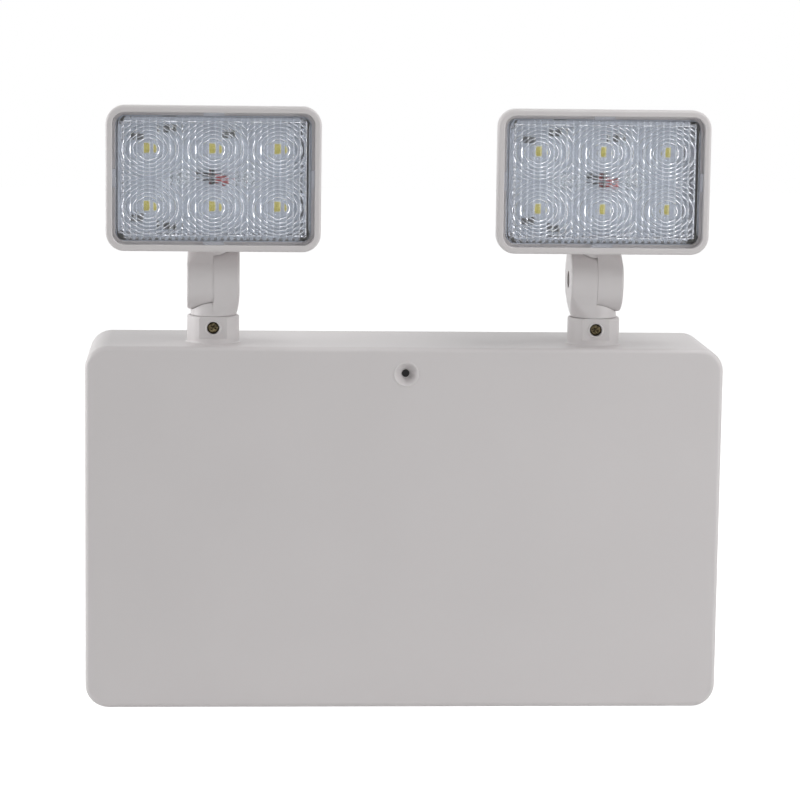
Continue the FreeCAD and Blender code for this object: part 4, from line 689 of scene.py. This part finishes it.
# Camera, fitted to the edges of the box in the photograph: in metres and degrees, the sensor in mm
cameraSpec = {"place": (-0.083563, -1.368443, 0.247366), "turn": (81.7582, -0.7337, -3.4380),
              "focalPixels": 3026.45, "framePixels": 800, "sensor": 36, "farEnd": 20}
cameraData = bpy.data.cameras.new("camera")
cameraData.sensor_width = cameraSpec["sensor"]
cameraData.lens = cameraSpec["focalPixels"] * cameraSpec["sensor"] / cameraSpec["framePixels"]
cameraData.clip_end = cameraSpec["farEnd"]
camera = bpy.data.objects.new("camera", cameraData)
camera.location = cameraSpec["place"]
camera.rotation_euler = [math.radians(angle) for angle in cameraSpec["turn"]]
bpy.context.scene.collection.objects.link(camera)
bpy.context.scene.camera = camera
print("camera set")


# Studio in metres and watts: white to the eye, a dim room to the object, soft boxes above and at both sides
studio = {"room": 0.14, "floorSize": 6.0, "floorGlow": 0.89, "floorGap": 0.1 * mm, "floorColour": "#eaeaea"}
softBoxes = {
    "topBox": {"place": (0.5, -0.27, 1.25), "target": (0.05, 0, 0.05), "size": (1.0, 0.8), "power": 7.0},
    "rightBox": {"place": (1.0, -0.78, 0.24), "target": (0, 0, 0.03), "size": (0.7, 0.8), "power": 4.7},
    "leftBox": {"place": (-1.25, -0.02, 0.36), "target": (0, 0, 0.05), "size": (0.9, 0.8), "power": 9.8},
    "keyBox": {"place": (0.6, -1.2, 1.1), "target": (0, 0, 0.1), "size": (0.22, 0.22), "power": 1.3},
}
white = (1, 1, 1, 1)


# 1 for a ray of the eye's, straight, off a gloss or through glass, and 0 for the rest
def seenByEye(tree):
    path = addNode(tree, "ShaderNodeLightPath").outputs
    seen = addNode(tree, "ShaderNodeMath", {0: path["Is Camera Ray"], 1: path["Is Glossy Ray"]})
    seen = addNode(tree, "ShaderNodeMath", {0: seen.outputs[0], 1: path["Is Transmission Ray"]},
                   use_clamp=True)
    return seen.outputs[0]


# The room: full white for the eye's rays, dim for those that light the part
def studioRoom():
    world = bpy.data.worlds.new("studioRoom")
    bpy.context.scene.world = world
    world.use_nodes = True
    tree = world.node_tree
    strength = addNode(tree, "ShaderNodeMapRange",
                       {"Value": seenByEye(tree), "To Min": studio["room"], "To Max": 1.0})
    ground = tree.nodes["Background"]
    ground.inputs["Color"].default_value = white
    tree.links.new(strength.outputs["Result"], ground.inputs["Strength"])


# A rectangular lamp at its place, turned to its target
def addSoftBox(name, place, target, size, power):
    light = bpy.data.lights.new(name, "AREA")
    light.shape = "RECTANGLE"
    light.size, light.size_y = size
    light.energy = power
    lamp = bpy.data.objects.new(name, light)
    lamp.location = place
    lamp.rotation_euler = (Vector(target) - Vector(place)).to_track_quat("-Z", "Y").to_euler()
    bpy.context.scene.collection.objects.link(lamp)


# Floor: a matt sheet that glows for the eye alone, so that it meets the white behind and keeps a faint shadow
def paleFloor():
    level = cadBox[0].z - studio["floorGap"]
    half = studio["floorSize"] / 2
    mesh = bpy.data.meshes.new("floor")
    mesh.from_pydata([(-half, -half, level), (half, -half, level), (half, half, level), (-half, half, level)],
                     [], [(0, 1, 2, 3)])
    material, tree, shader = newMaterial("paleFloor", Base_Color=linear(studio["floorColour"]), Roughness=1.0,
                                         Specular_IOR_Level=0.0, Emission_Color=white)
    glow = addNode(tree, "ShaderNodeMath", {0: seenByEye(tree), 1: studio["floorGlow"]}, operation="MULTIPLY")
    tree.links.new(glow.outputs[0], shader.inputs["Emission Strength"])
    mesh.materials.append(material)
    floor = bpy.data.objects.new("floor", mesh)
    bpy.context.scene.collection.objects.link(floor)


studioRoom()
for name, box in softBoxes.items():
    addSoftBox(name, **box)
paleFloor()
bpy.context.scene.view_settings.view_transform = "Standard"
print("studio set")
